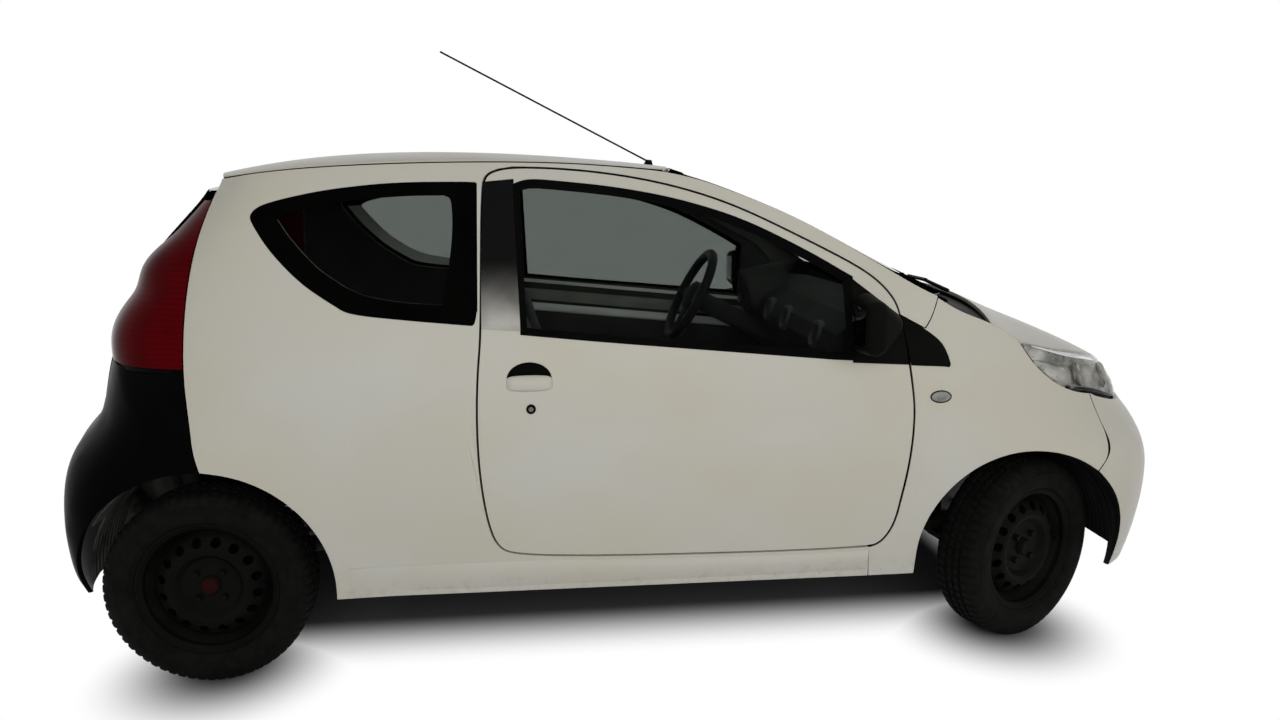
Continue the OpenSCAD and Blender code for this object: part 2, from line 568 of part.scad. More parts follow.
// Rear bumper, wrapping up to the lamps
function back_x(z) = graph([for (p = quarter_back) [p[1], p[0]]], z);
function rb_low(j) = j < 8 ? let (p = rear_arch(lerp(86.6, 185, j / 8))) [tail_a(p[0], p[1]), p[1]]
    : let (u = (j - 8) / 8, p = rear_arch(185)) [lerp(tail_a(p[0], p[1]), 90, u), lerp(p[1], 240,
        smooth(u * 3))];
rb_top_pts = [[700, 884], [620, 884], [lamp_in(884) + 4, 883], [lamp_in(790) + 4, 790],
    [lamp_in(716) + 5, 714], [440, 702], [300, 701], [150, 701], [0, 701]];
function rb_top(j) = let (p = curve_at(rb_top_pts, j / 2)) j == 0 ? [0, 884]
    : [across_a(p[0], p[1]), p[1]];
module rear_bumper() {
    half = [for (s = [0, 0.1, 0.25, 0.42, 0.58, 0.74, 0.9, 1])
        [for (j = [0:16]) let (p = lerp(rb_low(j), rb_top(j), s))
            j == 0 ? [tail_a(back_x(p[1]) - seam_gap, p[1]), p[1]] : p]];
    full = [for (r = half) concat(r, [for (j = [15:-1:0]) [180 - r[j][0], r[j][1]]])];
    color(black)
        shell([for (r = full) [for (p = r) tail_pt(p[0], p[1])]],
            [for (r = full) [for (j = [0:32]) let (a = r[j][0], z = r[j][1])
                j % 32 == 0 ? tail_pt(a, z) - [0, (j == 0 ? 1 : -1) * skin_t, 0] : tail_in(a, z, skin_t)]]);
}

// Underside, bulkhead and boot floor in one pressing
module pressing(side, w) {
    translate([0, w, 0])
        rotate([90, 0, 0])
            linear_extrude(2 * w)
                polygon(side);
}

module floor_pan() {
    t = 18;
    f = sill_z + 4;
    toe = front_x - arch_f - 8;
    rise = (430 - f) / 195;
    heel = rear_x + arch_r + 10;
    color(dark) {
        pressing([[fx(-235), belt_z - 10], [fx(-235), 430], [fx(-430), f], [rx(860), f], [rx(790), 396],
            [rx(330), 410], [rx(250), 480], [rx(-360), 480], [rx(-360), 480 - t], [rx(262), 480 - t],
            [rx(342), 410 - t], [rx(771), 396 - t], [rx(842), f - t], [fx(-422), f - t], [fx(-217), 422],
            [fx(-217), belt_z - 10]], floor_w);
        pressing([[toe, f + (toe - fx(-430)) * rise], [fx(-430), f], [rx(860), f], [rx(790), 396],
            [heel, 409], [heel, 409 - t], [rx(771), 396 - t], [rx(842), f - t], [fx(-422), f - t],
            [toe, f - t + (toe - fx(-422)) * rise]], sill_in);
        translate([fx(-235), -sill_in, 526])
            cube([t, 2 * sill_in, belt_z - 536]);
        difference() {
            translate([rx(-352), 26 - floor_w, 187])
                cube([12, 40, 278]);
            translate([rx(-400), 46 - floor_w, 214])
                rotate([0, 90, 0])
                    cylinder(r = 13, h = 100, $fn = 40);
        }
    }
}

// Liner of a wheel arch: rolled top and flat inner wall
module liner(cx, r, slot_x, slot_z, slot_y, inner_y, outer_y) {
    difference() {
        translate([cx, inner_y, tyre_r])
            rotate([-90, 0, 0])
                difference() {
                    cylinder(r = r, h = outer_y - inner_y, $fn = 96);
                    translate([0, 0, 4])
                        cylinder(r = r - 4, h = outer_y - inner_y, $fn = 96);
                }
        translate([cx - 500, inner_y - 10, tyre_r - 560])
            cube([1000, 500, 560]);
        translate([cx + slot_x[0], inner_y - 10, 0])
            cube([slot_x[1] - slot_x[0], slot_y, slot_z]);
    }
}

module arch_liners() {
    color(black)
        both_sides() {
            liner(front_x, arch_f - 1, [-95, 95], 420, 60, well_f, 735);
            difference() {
                liner(rear_x, arch_r - 1, [-80, 360], 400, 150, well_r, 740);
                translate([rear_x - 500, 655, 0])
                    cube([210, 200, 470]);
            }
        }
}

helm = [fx(-816), 345, 931];
helm_tilt = 63;
function helm_at(d) = helm + d * [-sin(helm_tilt), 0, cos(helm_tilt)];
module dashboard() {
    color(dark) {
        translate([0, 630, 0])
            rotate([90, 0, 0])
                linear_extrude(1260)
                    polygon([[fx(-240), 640], [fx(-240), 960], [fx(-330), 985], [fx(-470), 972],
                        [fx(-545), 930], [fx(-560), 880], [fx(-520), 800], [fx(-470), 700], [fx(-440), 640]]);
        translate([fx(-585), helm[1], 940])
            rotate([0, 78, 0])
                cylinder(r = 92, h = 150, $fn = 48);
        rod(helm_at(-420), helm_at(-44), 38);
    }
}

module steering_wheel() {
    color(black)
        translate(helm)
            rotate([0, -helm_tilt, 0]) {
                rotate_extrude($fn = 72)
                    translate([helm_r, 0])
                        circle(r = 14, $fn = 24);
                translate([0, 0, -34])
                    cylinder(r = 62, h = 36, $fn = 48);
                for (a = [90, -90, 180])
                    rotate([0, 0, a])
                        translate([50, -18, -12])
                            cube([helm_r - 56, 36, 12]);
            }
}

module seat_block(side, w) {
    rotate([90, 0, 0])
        translate([0, 0, -w / 2])
            linear_extrude(w)
                polygon(side);
}

module front_seats() {
    color(dark)
        both_sides()
            translate([0, 345, 0]) {
                seat_block([[fx(-872), 424], [fx(-858), 470], [fx(-868), 505], [fx(-905), 528],
                    [fx(-1010), 524], [fx(-1200), 496], [fx(-1330), 484], [fx(-1348), 430],
                        [fx(-1310), 400], [fx(-915), 400]], seat_w);
                seat_block([[fx(-1285), 505], [fx(-1340), 488], [fx(-1400), 505], [fx(-1480), 690],
                    [fx(-1565), 935], [fx(-1552), 962], [fx(-1500), 964], [fx(-1474), 935],
                        [fx(-1392), 690]], seat_w - 30);
                seat_block([[fx(-1510), 968], [fx(-1540), 966], [fx(-1586), 1004], [fx(-1608), 1110],
                    [fx(-1596), 1160], [fx(-1560), 1170], [fx(-1524), 1150],
                        [fx(-1502), 1030]], seat_w * 0.56);
                translate([fx(-1535), -36, 930])
                    cube([18, 72, 70]);
                for (y = [-180, 140])
                    translate([fx(-1290), y, sill_z + 4])
                        cube([360, 40, 400 - sill_z - 4]);
            }
}

module rear_seat() {
    color(dark) {
        seat_block([[rx(780), 470], [rx(760), 500], [rx(480), 480], [rx(480), 412], [rx(780), 412]], 1100);
        seat_block([[rx(480), 490], [rx(420), 490], [rx(300), 900], [rx(340), 915], [rx(390), 900]], 1100);
    }
}

module engine() {
    color(metal) {
        translate([fx(-150), -engine_w, 250])
            cube([400, 2 * engine_w, 500]);
        both_sides()
            translate([front_x, engine_w, tyre_r])
                rotate([-90, 0, 0])
                    cylinder(r = 14, h = pivot_y - 60 - engine_w, $fn = 32);
    }
}

// Exhaust pipe with welded bends, and the silencer across the rear
exhaust_y = -120;
exhaust_r = 22;
exhaust_run = [[fx(-120), 222], [fx(-200), 178], [rx(330), 178], [rx(60), 192], [rx(-180), 330]];
module exhaust() {
    at = [for (p = exhaust_run) [p[0], exhaust_y, p[1]]];
    color(metal) {
        for (i = [1:len(at) - 1])
            rod(at[i - 1], at[i], exhaust_r);
        for (i = [1:len(at) - 2])
            translate(at[i])
                sphere(r = exhaust_r + 2, $fn = 32);
        translate([rx(-210), -muffler_w, 350])
            rotate([-90, 0, 0])
                cylinder(r = 78, h = 2 * muffler_w - 40, $fn = 48);
    }
}

module fuel_tank() {
    color(dark)
        translate([rx(400), -40, 212])
            cube([rx(760) - rx(400), 420, 162]);
}

module rear_axle() {
    color(dark) {
        translate([rx(130), -hub_in + 85, 292])
            rotate([-90, 0, 0])
                cylinder(r = 34, h = 2 * hub_in - 170, $fn = 40);
        both_sides() {
            rod([rx(360), hub_in - 90, 330], [rear_x, hub_in - 60, tyre_r], 24);
            translate([rear_x, hub_in - 90, tyre_r])
                rotate([-90, 0, 0])
                    cylinder(r = 46, h = 90, $fn = 40);
            translate([rear_x, hub_in, tyre_r])
                rotate([-90, 0, 0])
                    cylinder(r = 96, h = track_r / 2 - hub_in - 28, $fn = 64);
            translate([rear_x, hub_in, tyre_r])
                rotate([-90, 0, 0])
                    cylinder(r = stub_r, h = track_r / 2 - hub_in + 14, $fn = 40);
        }
    }
}

module front_subframe() {
    color(dark) {
        translate([fx(-80), -engine_w - 10, 168])
            cube([190, 2 * engine_w + 20, 50]);
        both_sides()
            translate([front_x, 0, 168])
                linear_extrude(20)
                    polygon([[-80, engine_w], [110, engine_w], [22, pivot_y + 14], [-22, pivot_y + 14]]);
    }
}

module dampers() {
    color(dark)
        both_sides() {
            translate([front_x, pivot_y - 105, 420])
                cylinder(r = 24, h = 166, $fn = 32);
            translate([front_x - 13, pivot_y - 105, 412])
                cube([26, 117, 20]);
            rod([rx(-76), hub_in - 90, 300], [rx(-105), hub_in - 100, 575], 24);
        }
}

// Parts of a wheel lie along Z, outboard up, then turn onto the axle
module on_wheel(front, left) {
    if (front)
        translate([front_x, left ? pivot_y : -pivot_y, tyre_r])
            rotate([0, 0, steer_rest])
                mirror([0, left ? 0 : 1, 0])
                    translate([0, pivot_in, 0])
                        rotate([-90, 0, 0])
                            children();
    else
        mirror([0, left ? 0 : 1, 0])
            translate([rear_x, track_r / 2, tyre_r])
                rotate([-90, 0, 0])
                    children();
}

module rim() {
    d = seat_r - 178;
    difference() {
        union() {
            rotate_extrude($fn = 96)
                polygon([[190 + d, -64], [190 + d, -58], [178 + d, -58], [178 + d, -38], [162, -20],
                    [162, 15], [178 + d, 38], [178 + d, 58], [190 + d, 58], [190 + d, 64], [184 + d, 64],
                    [172 + d, 54], [171 + d, 38], [156, 17], [156, -22], [171 + d, -40], [172 + d, -54],
                        [184 + d, -64]]);
            rotate_extrude($fn = 96)
                polygon([[0, 42], [20, 42], [27, 37], [27, 32], [78, 32], [92, 46], [105, 50], [120, 47],
                    [142, 32], [158, 16], [158, 9], [142, 25], [120, 40], [104, 43], [101, 26],
                    [101, -22], [94, -22], [94, 20], [60, 20], [60, -10], [0, -10]]);
        }
        translate([0, 0, -20])
            cylinder(r = stub_r + 0.05, h = 40, $fn = 40);
        for (a = [45:90:315])
            rotate([0, 0, a])
                translate([nut_ring, 0, 6])
                    cylinder(r = bolt_r, h = 60, $fn = 32);
        for (i = [0:vent_n - 1])
            rotate([0, 0, (i + 0.5) * 360 / vent_n])
                translate([vent_ring, 0, 20])
                    cylinder(r = vent_r, h = 60, $fn = 32);
    }
}

module tyre() {
    h = tyre_w / 2;
    r = tyre_r;
    s = seat_r;
    side = [[s, 40], [s, 58], [s + 12.5, 58], [s + 13.5, h - 13], [s + 24, h - 5], [s + 40, h - 1],
        [s + 54, h], [r - 34, h - 1.5], [r - 20, h - 6.5], [r - 10, h - 13], [r - 4, h - 21],
            [r - 1, h - 32], [r, h - 42]];
    grooves = [[r, 27], [r - 7, 26], [r - 7, 19], [r, 18], [r, 4.5], [r - 7, 3.5]];
    inner = [[s, 40], [s + 16, 48], [s + 36, h - 14], [s + 56, h - 13], [r - 26, h - 20],
        [r - 12, h - 36], [r - 11, 20]];
    path = concat(side, grooves);
    color(black)
        rotate_extrude($fn = 120)
            polygon(concat(path, [for (p = back(path)) [p[0], -p[1]]], tail_of([for (p = inner) [p[0],
                -p[1]]]),
                head_of(back(inner))));
}

// Upright that steers with the front wheel and carries its stub axle
module knuckle(left) {
    color(metal)
        translate([front_x, left ? pivot_y : -pivot_y, 0])
            rotate([0, 0, steer_rest])
                mirror([0, left ? 0 : 1, 0]) {
                    translate([0, 0, 194])
                        cylinder(r = 20, h = 212, $fn = 40);
                    translate([0, -30, tyre_r])
                        rotate([-90, 0, 0])
                            cylinder(r = 44, h = 70, $fn = 48);
                    translate([0, 0, tyre_r])
                        rotate([-90, 0, 0])
                            cylinder(r = stub_r, h = pivot_in + 14, $fn = 40);
                    translate([-120, -44, 236])
                        cube([126, 24, 20]);
                }
}

// Door mirror: rounded housing on a foot, open to the rear for its glass
module mirror_pod() {
    foot = on_side([fx(-478), belt_z + 8]);
    out = [0, 0.968, 0.25];
    at = foot + [-22, 93, 46];
    color(black) {
        difference() {
            hull() {
                for (z = [-47, 47])
                    translate(at + [-20, -45, z])
                        sphere(r = 38, $fn = 24);
                for (z = [-40, 40])
                    translate(at + [-22, 42, z])
                        sphere(r = 36, $fn = 24);
                translate(at + [28, -4, 0])
                    sphere(r = 42, $fn = 24);
            }
            translate(at + [-150, -150, -150])
                cube([98, 300, 300]);
        }
        rod(foot, foot + out * 62, 17);
    }
}

module antenna() {
    base = [fx(-1027), 0, roof_z - 34];
    dir = [-cos(27), 0, sin(27)];
    color(black) {
        translate(base - [0, 0, 2])
            rotate([0, 7, 0])
                cylinder(r1 = 16, r2 = 10, h = 16, $fn = 32);
        rod(base + [0, 0, 8], base + [0, 0, 8] + dir * whip_l, 3);
    }
}

function screen_pt(u, s) =
    across(on_side(curve_at(screen_edge, 6 * u)), curve_at(screen_mid, 3 * u), s, [2, 1]) + [5, 0, 13];
module wipers() {
    color(black) {
        rod(screen_pt(0.95, 0.05), screen_pt(0.9, 0.62), 6);
        rod(screen_pt(1.0, 0.12), screen_pt(0.935, 0.34), 6);
        rod(screen_pt(0.9, -0.62), screen_pt(0.95, -0.02), 6);
        rod(screen_pt(1.0, -0.58), screen_pt(0.935, -0.32), 6);
    }
}

floor_pan();
body_side();  // side_left
mirror([0, 1, 0]) body_side();  // side_right
fender();  // fender_left
mirror([0, 1, 0]) fender();  // fender_right
roof();
windscreen();
both_sides() quarter_light();  // quarter_glass
cowl();
wipers();
front_bumper();
grille();
rear_bumper();
both_sides() headlamp();  // headlamps
both_sides() tail_lamp();  // tail_lamps
antenna();
arch_liners();
dashboard();
front_seats();
rear_seat();
engine();
exhaust();
fuel_tank();
rear_axle();
front_subframe();
dampers();
door();  // door_left
mirror([0, 1, 0]) door();  // door_right
door_glass();  // door_glass_left
mirror([0, 1, 0]) door_glass();  // door_glass_right
mirror_pod();  // mirror_left
mirror([0, 1, 0]) mirror_pod();  // mirror_right
hood();
tailgate();
knuckle(true);  // knuckle_left
knuckle(false);  // knuckle_right
steering_wheel();
color(dark) on_wheel(true, true) rim();  // rim_front_left
color(dark) on_wheel(true, false) rim();  // rim_front_right
color(dark) on_wheel(false, true) rim();  // rim_rear_left
color(dark) on_wheel(false, false) rim();  // rim_rear_right
on_wheel(true, true) tyre();  // tyre_front_left
on_wheel(true, false) tyre();  // tyre_front_right
on_wheel(false, true) tyre();  // tyre_rear_left
on_wheel(false, false) tyre();  // tyre_rear_right
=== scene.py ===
"""City car: finished panels, glass, lamps, wheels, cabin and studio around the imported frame.

Metres in the car's frame: X forward, Y to the left, Z up, the ground at Z = 0. Outlines are in millimetres.
"""

import json
from math import acos, asin, copysign, cos, exp, hypot, pi, radians, sin, sqrt

import bmesh
import bpy
from mathutils import Matrix, Vector

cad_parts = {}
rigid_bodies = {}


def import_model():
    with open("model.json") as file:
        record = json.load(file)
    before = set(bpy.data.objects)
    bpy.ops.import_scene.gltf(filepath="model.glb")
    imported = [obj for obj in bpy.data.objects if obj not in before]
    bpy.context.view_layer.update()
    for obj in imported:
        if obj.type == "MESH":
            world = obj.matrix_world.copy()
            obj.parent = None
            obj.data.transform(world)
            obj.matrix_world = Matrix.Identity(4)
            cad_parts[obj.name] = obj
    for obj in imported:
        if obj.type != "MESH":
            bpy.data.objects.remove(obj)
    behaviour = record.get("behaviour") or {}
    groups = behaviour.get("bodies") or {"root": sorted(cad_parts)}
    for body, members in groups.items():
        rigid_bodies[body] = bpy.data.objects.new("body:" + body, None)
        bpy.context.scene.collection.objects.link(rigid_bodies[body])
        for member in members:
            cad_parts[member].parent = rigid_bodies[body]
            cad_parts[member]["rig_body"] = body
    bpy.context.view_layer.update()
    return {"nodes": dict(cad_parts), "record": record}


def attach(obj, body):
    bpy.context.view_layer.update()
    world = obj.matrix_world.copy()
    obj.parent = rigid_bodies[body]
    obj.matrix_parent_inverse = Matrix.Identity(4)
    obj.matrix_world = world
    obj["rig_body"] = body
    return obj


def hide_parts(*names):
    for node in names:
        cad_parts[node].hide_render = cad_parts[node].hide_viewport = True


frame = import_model()
NODES = frame["nodes"]
SIDES = {"left": 1, "right": -1}
CORNERS = ("front_left", "front_right", "rear_left", "rear_right")

# Camera of the photograph, found from the wheels, door lines and roof
CAMERA_AT = (-0.342, -3.274, 1.387)
CAMERA_YAW = 6.64
CAMERA_PITCH = -11.08
PHOTO_WIDTH = 1280
FOCAL_PIXELS = 930.8

# Sizes that the part's source has too
FRONT_X, REAR_X, TYRE_R = 1095, -1245, 278
TRACK_R, PIVOT_Y, PIVOT_IN, STEER_REST = 1410, 650, 60, 25
BELT_Z, BELT_FALL, ROOF_Z = 935, 0.102, 1468
HALF_LENGTH, NOSE_START, TAIL_START = 1715, 600, 700
TAIL_REACH = HALF_LENGTH - TAIL_START
WAIST_Y, WAIST_Z = 807, 620
ARCH_F, ARCH_R, FLARE, FLARE_REACH = 327, 348, 8, 150
SEAT_Y = 345


# Materials

def shader_of(mat):
    return mat.node_tree.nodes["Principled BSDF"]


def set_inputs(owner, node, values):
    """Sets a node's inputs in a material or world, each to a value or to another node's output."""
    for key, value in values.items():
        if hasattr(value, "is_output"):
            owner.node_tree.links.new(value, node.inputs[key])
        else:
            node.inputs[key].default_value = value


def new_material(name, colour, roughness, metallic=0.0, specular=0.5, coat=0.0, coat_roughness=0.1):
    mat = bpy.data.materials.new(name)
    mat.use_nodes = True
    set_inputs(mat, shader_of(mat), {
        "Base Color": (*colour, 1), "Roughness": roughness, "Metallic": metallic, "Specular IOR Level": specular,
        "Coat Weight": coat, "Coat Roughness": coat_roughness})
    return mat


def add_node(owner, kind, inputs=None, **settings):
    node = owner.node_tree.nodes.new(kind)
    for key, value in settings.items():
        setattr(node, key, value)
    set_inputs(owner, node, inputs or {})
    return node


def place(mat, scale=(1, 1, 1)):
    """Coordinates in the car's frame, stretched by scale."""
    coords = add_node(mat, "ShaderNodeTexCoord")
    mapping = add_node(mat, "ShaderNodeMapping", {"Vector": coords.outputs["Object"], "Scale": scale})
    return mapping.outputs["Vector"]


def axis_of(mat, axis):
    coords = add_node(mat, "ShaderNodeTexCoord")
    return add_node(mat, "ShaderNodeSeparateXYZ", {"Vector": coords.outputs["Object"]}).outputs[axis]


def noise(mat, scale, detail=3.0, roughness=0.55, stretch=(1, 1, 1)):
    inputs = {"Vector": place(mat, stretch), "Scale": scale, "Detail": detail, "Roughness": roughness}
    return add_node(mat, "ShaderNodeTexNoise", inputs).outputs["Fac"]


def waves(mat, way, scale, distortion=0.0, detail=2.0, stretch=(1, 1, 1)):
    inputs = {"Vector": place(mat, stretch), "Scale": scale, "Distortion": distortion, "Detail": detail}
    return add_node(mat, "ShaderNodeTexWave", inputs, bands_direction=way).outputs["Fac"]


def remap(owner, value, low, high, to_low=0.0, to_high=1.0, **settings):
    inputs = {"Value": value, "From Min": low, "From Max": high, "To Min": to_low, "To Max": to_high}
    return add_node(owner, "ShaderNodeMapRange", inputs, **settings).outputs["Result"]


def maths(owner, operation, a, b):
    return add_node(owner, "ShaderNodeMath", {0: a, 1: b}, operation=operation).outputs[0]


def multiply(mat, first, *others):
    for value in others:
        first = maths(mat, "MULTIPLY", first, value)
    return first


def blend_colour(mat, factor, a, b):
    """Colour a where factor is 0 and b where it is 1. Either may be a socket."""
    ends = {key: value if hasattr(value, "is_output") else (*value, 1) for key, value in ((6, a), (7, b))}
    return add_node(mat, "ShaderNodeMix", {"Factor": factor, **ends}, data_type="RGBA").outputs[2]


def mix_shaders(owner, factor, a, b):
    return add_node(owner, "ShaderNodeMixShader", {0: factor, 1: a.outputs[0], 2: b.outputs[0]})


def set_surface(owner, output, shader):
    set_inputs(owner, owner.node_tree.nodes[output], {"Surface": shader.outputs[0]})


def set_tones(mat, factor, a, b):
    """Base colour a where factor is 0 and b where it is 1."""
    set_inputs(mat, shader_of(mat), {"Base Color": blend_colour(mat, factor, a, b)})


def set_roughness(mat, factor, low, high):
    set_inputs(mat, shader_of(mat), {"Roughness": remap(mat, factor, 0.3, 0.7, low, high)})


def set_bump(mat, height, strength, distance):
    bump = add_node(mat, "ShaderNodeBump", {"Height": height, "Strength": strength, "Distance": distance})
    set_inputs(mat, shader_of(mat), {"Normal": bump.outputs["Normal"]})


def grained(name, colour, roughness, grain=900.0, depth=0.0004, spread=0.25, specular=0.3, **more):
    """Moulded or cast surface: fine grain, uneven tone and shine."""
    mat = new_material(name, colour, roughness, specular=specular, **more)
    cloud = noise(mat, 9, 4)
    dark, pale = [[c * (1 + part) for c in colour] for part in (-spread, spread)]
    set_tones(mat, remap(mat, cloud, 0.3, 0.7), dark, pale)
    set_roughness(mat, cloud, roughness * 0.88, min(roughness * 1.12, 1))
    set_bump(mat, noise(mat, grain, 2), 0.35, depth)
    return mat


def paint_material():
    """Pale cream paint with cooler, lighter patches of painted reflection, dust and rust specks along the sill."""
    mat = new_material("paint", (0.44, 0.425, 0.375), 0.4, specular=0.22, coat=0.12, coat_roughness=0.12)
    # Cooler, lighter clouds in the paint are painted reflection.
    cloud = remap(mat, noise(mat, 2.1, 2, 0.45, (1, 0.6, 1.5)), 0.4, 0.66)
    tone = blend_colour(mat, cloud, (0.44, 0.42, 0.355), (0.45, 0.443, 0.4))
    low = remap(mat, axis_of(mat, "Z"), 0.3, 0.215)
    dust = remap(mat, noise(mat, 30, 6, 0.7), 0.5, 0.75)
    dust_and_painted_light = blend_colour(mat, multiply(mat, low, dust), tone, (0.3, 0.28, 0.23))
    specks = remap(mat, noise(mat, 150, 2, 0.6), 0.69, 0.74)
    rust = multiply(mat, specks, low, remap(mat, axis_of(mat, "X"), -0.2, 0.6))
    set_tones(mat, rust, dust_and_painted_light, (0.16, 0.03, 0.015))
    set_roughness(mat, noise(mat, 5, 3), 0.36, 0.46)
    set_bump(mat, noise(mat, 420, 2), 0.03, 0.0002)
    return mat


def glass_material(name, tint, ior):
    """Glass that lets the lamps' light through to the cabin."""
    mat = new_material(name, tint, 0.0)
    shader = shader_of(mat)
    set_inputs(mat, shader, {"Transmission Weight": 1, "IOR": ior})
    clear = add_node(mat, "ShaderNodeBsdfTransparent", {"Color": (0.8, 0.82, 0.8, 1)})
    path = add_node(mat, "ShaderNodeLightPath")
    set_surface(mat, "Material Output", mix_shaders(mat, path.outputs["Is Shadow Ray"], shader, clear))
    return mat


def rubber_material():
    mat = new_material("tyre_rubber", (0.004, 0.004, 0.0037), 0.75, specular=0.05)
    dust = remap(mat, noise(mat, 30, 5, 0.7), 0.4, 0.75)
    set_tones(mat, dust, (0.003, 0.003, 0.0028), (0.0065, 0.0064, 0.0057))
    set_roughness(mat, noise(mat, 14, 4), 0.66, 0.84)
    set_bump(mat, noise(mat, 700, 3), 0.25, 0.0003)
    return mat


def cloth_material(name, thread, gap, pitch):
    """Woven seat cloth: crossed sets of threads."""
    mat = new_material(name, thread, 0.92, specular=0.12)
    across, along, up = [waves(mat, way, pitch, distortion=1.2, detail=1.0) for way in ("X", "Y", "Z")]
    weave = multiply(mat, across, along, up)
    set_tones(mat, remap(mat, weave, 0.0, 0.5), gap, thread)
    set_bump(mat, weave, 0.4, 0.0006)
    set_inputs(mat, shader_of(mat), {"Sheen Weight": 0.2})
    return mat


def pillar_material():
    """Gloss black film, painted lighter grey near its foot as a reflection."""
    mat = new_material("pillar_film", (0.004, 0.004, 0.004), 0.25, specular=0.03)
    # Lighter grey towards the foot, in clouds, is painted reflection.
    painted_reflection = remap(mat, axis_of(mat, "Z"), 1.17, 1.0)
    cloud = remap(mat, noise(mat, 14, 2, 0.4), 0.25, 0.7, 0.55, 1.0)
    set_tones(mat, multiply(mat, painted_reflection, painted_reflection, cloud), (0.0036, 0.004, 0.0036), (0.41, 0.4, 0.365))
    set_roughness(mat, noise(mat, 9, 3), 0.2, 0.34)
    return mat


def lamp_red_material():
    """Red lens over ribbed optics, with darker clouds."""
    mat = new_material("lamp_red", (0.055, 0.0004, 0.002), 0.16, specular=0.012)
    ribs = waves(mat, "Z", 22.0, distortion=0.4, stretch=(0.2, 0.2, 1))
    deep = blend_colour(mat, ribs, (0.062, 0.0002, 0.0015), (0.08, 0.0003, 0.002))
    set_tones(mat, remap(mat, noise(mat, 7, 2), 0.45, 0.7), deep, (0.05, 0.0002, 0.0012))
    set_bump(mat, ribs, 0.03, 0.0006)
    return mat


def reflector_material():
    """Bright reflector behind the clear lens, dulled by age."""
    mat = new_material("lamp_bucket", (0.13, 0.13, 0.122), 0.3, metallic=0.6)
    haze = remap(mat, noise(mat, 18, 2), 0.35, 0.68)
    set_tones(mat, haze, (0.13, 0.132, 0.124), (0.34, 0.33, 0.305))
    set_roughness(mat, noise(mat, 24, 2), 0.22, 0.4)
    set_bump(mat, noise(mat, 30, 1), 0.2, 0.003)
    return mat


def liner_material():
    """Felted wheel arch liner with moulded ribs, and lighter patches at the back that are partly dust and partly
    painted light.
    """
    mat = grained("arch_liner", (0.0035, 0.0035, 0.0033), 0.8, grain=300, depth=0.0008, specular=0.05)
    set_bump(mat, waves(mat, "Y", 14.0), 0.7, 0.006)
    # Lighter grey patches towards the back of the rear arches: dust and painted light.
    behind = remap(mat, axis_of(mat, "X"), -1.36, -1.44)
    dust_and_painted_light = multiply(mat, behind, remap(mat, noise(mat, 8, 4), 0.3, 0.6))
    set_tones(mat, dust_and_painted_light, (0.0035, 0.0035, 0.0033), (0.1, 0.1, 0.092))
    return mat


PAINT = paint_material()
GLASS = glass_material("tinted_glass", (0.325, 0.347, 0.333), 1.05)
CLEAR = glass_material("clear_lens", (0.93, 0.935, 0.93), 1.12)
PLASTIC = grained("black_plastic", (0.004, 0.004, 0.0037), 0.5, specular=0.012)
SEAL = grained("rubber_seal", (0.0018, 0.0018, 0.0017), 0.5, grain=400, specular=0.015)
FRIT = grained("pane_border", (0.0015, 0.0016, 0.0014), 0.3, grain=300, depth=0.00005, specular=0.0)
BUMPER_BLACK = grained("bumper_black", (0.0012, 0.0014, 0.0012), 0.3, grain=500, depth=0.0001, specular=0.007)
PILLAR = pillar_material()
RED = lamp_red_material()
BUCKET = reflector_material()
AMBER = new_material("indicator_bulb", (0.5, 0.16, 0.02), 0.3, specular=0.3)
CHROME = new_material("bright_trim", (0.6, 0.61, 0.61), 0.12, metallic=1)
MIRROR = new_material("mirror_glass", (0.16, 0.165, 0.17), 0.02, metallic=1)
for mat, low, high in ((AMBER, 0.1, 0.2), (CHROME, 0.1, 0.2), (MIRROR, 0.02, 0.06)):
    set_roughness(mat, noise(mat, 40, 3), low, high)
# Inner door metal and window flange, near white and much paler than the body paint: painted light.
LIT_DOOR_METAL = grained("door_inner_paint_lit", (0.86, 0.855, 0.82), 0.4, grain=400, depth=0.0002, spread=0.05)
CARD = grained("door_card", (0.03, 0.03, 0.028), 0.6, grain=700, specular=0.12)
DOOR_RAIL = grained("door_inner_rail", (0.26, 0.255, 0.23), 0.6, grain=500, depth=0.0002, spread=0.12)
BOWL = grained("lamp_reflector", (0.3, 0.29, 0.26), 0.25, grain=60, metallic=0.7)
VENT_RING = grained("vent_ring", (0.1, 0.1, 0.1), 0.35, grain=300, metallic=0.5)
GRIP = grained("steering_grip", (0.012, 0.012, 0.012), 0.38, grain=90, depth=0.002, spread=0.5)
RIM = grained("wheel_steel", (0.0034, 0.0034, 0.003), 0.5, grain=240, spread=0.4, specular=0.025)
RUBBER = rubber_material()
INTERIOR = grained("cabin_plastic", (0.028, 0.029, 0.027), 0.6, grain=800, specular=0.2)
LINING = grained("head_lining", (0.06, 0.06, 0.057), 0.95, grain=1200, specular=0.1)
CLOTH = cloth_material("seat_cloth", (0.045, 0.047, 0.052), (0.014, 0.014, 0.016), 260)
UNDER = grained("underbody", (0.005, 0.005, 0.005), 0.85, grain=150, depth=0.001, specular=0.06)
LINER = liner_material()
IRON = grained("axle_iron", (0.018, 0.016, 0.014), 0.7, grain=200, spread=0.4, specular=0.25)
ALLOY = grained("engine_alloy", (0.25, 0.25, 0.26), 0.5, grain=150, metallic=0.8)
STEEL = grained("pipe_steel", (0.18, 0.17, 0.16), 0.45, grain=120, spread=0.35, metallic=0.9)
RUST = grained("rusty_hub", (0.013, 0.0022, 0.0022), 0.7, grain=160, spread=0.5, specular=0.06)

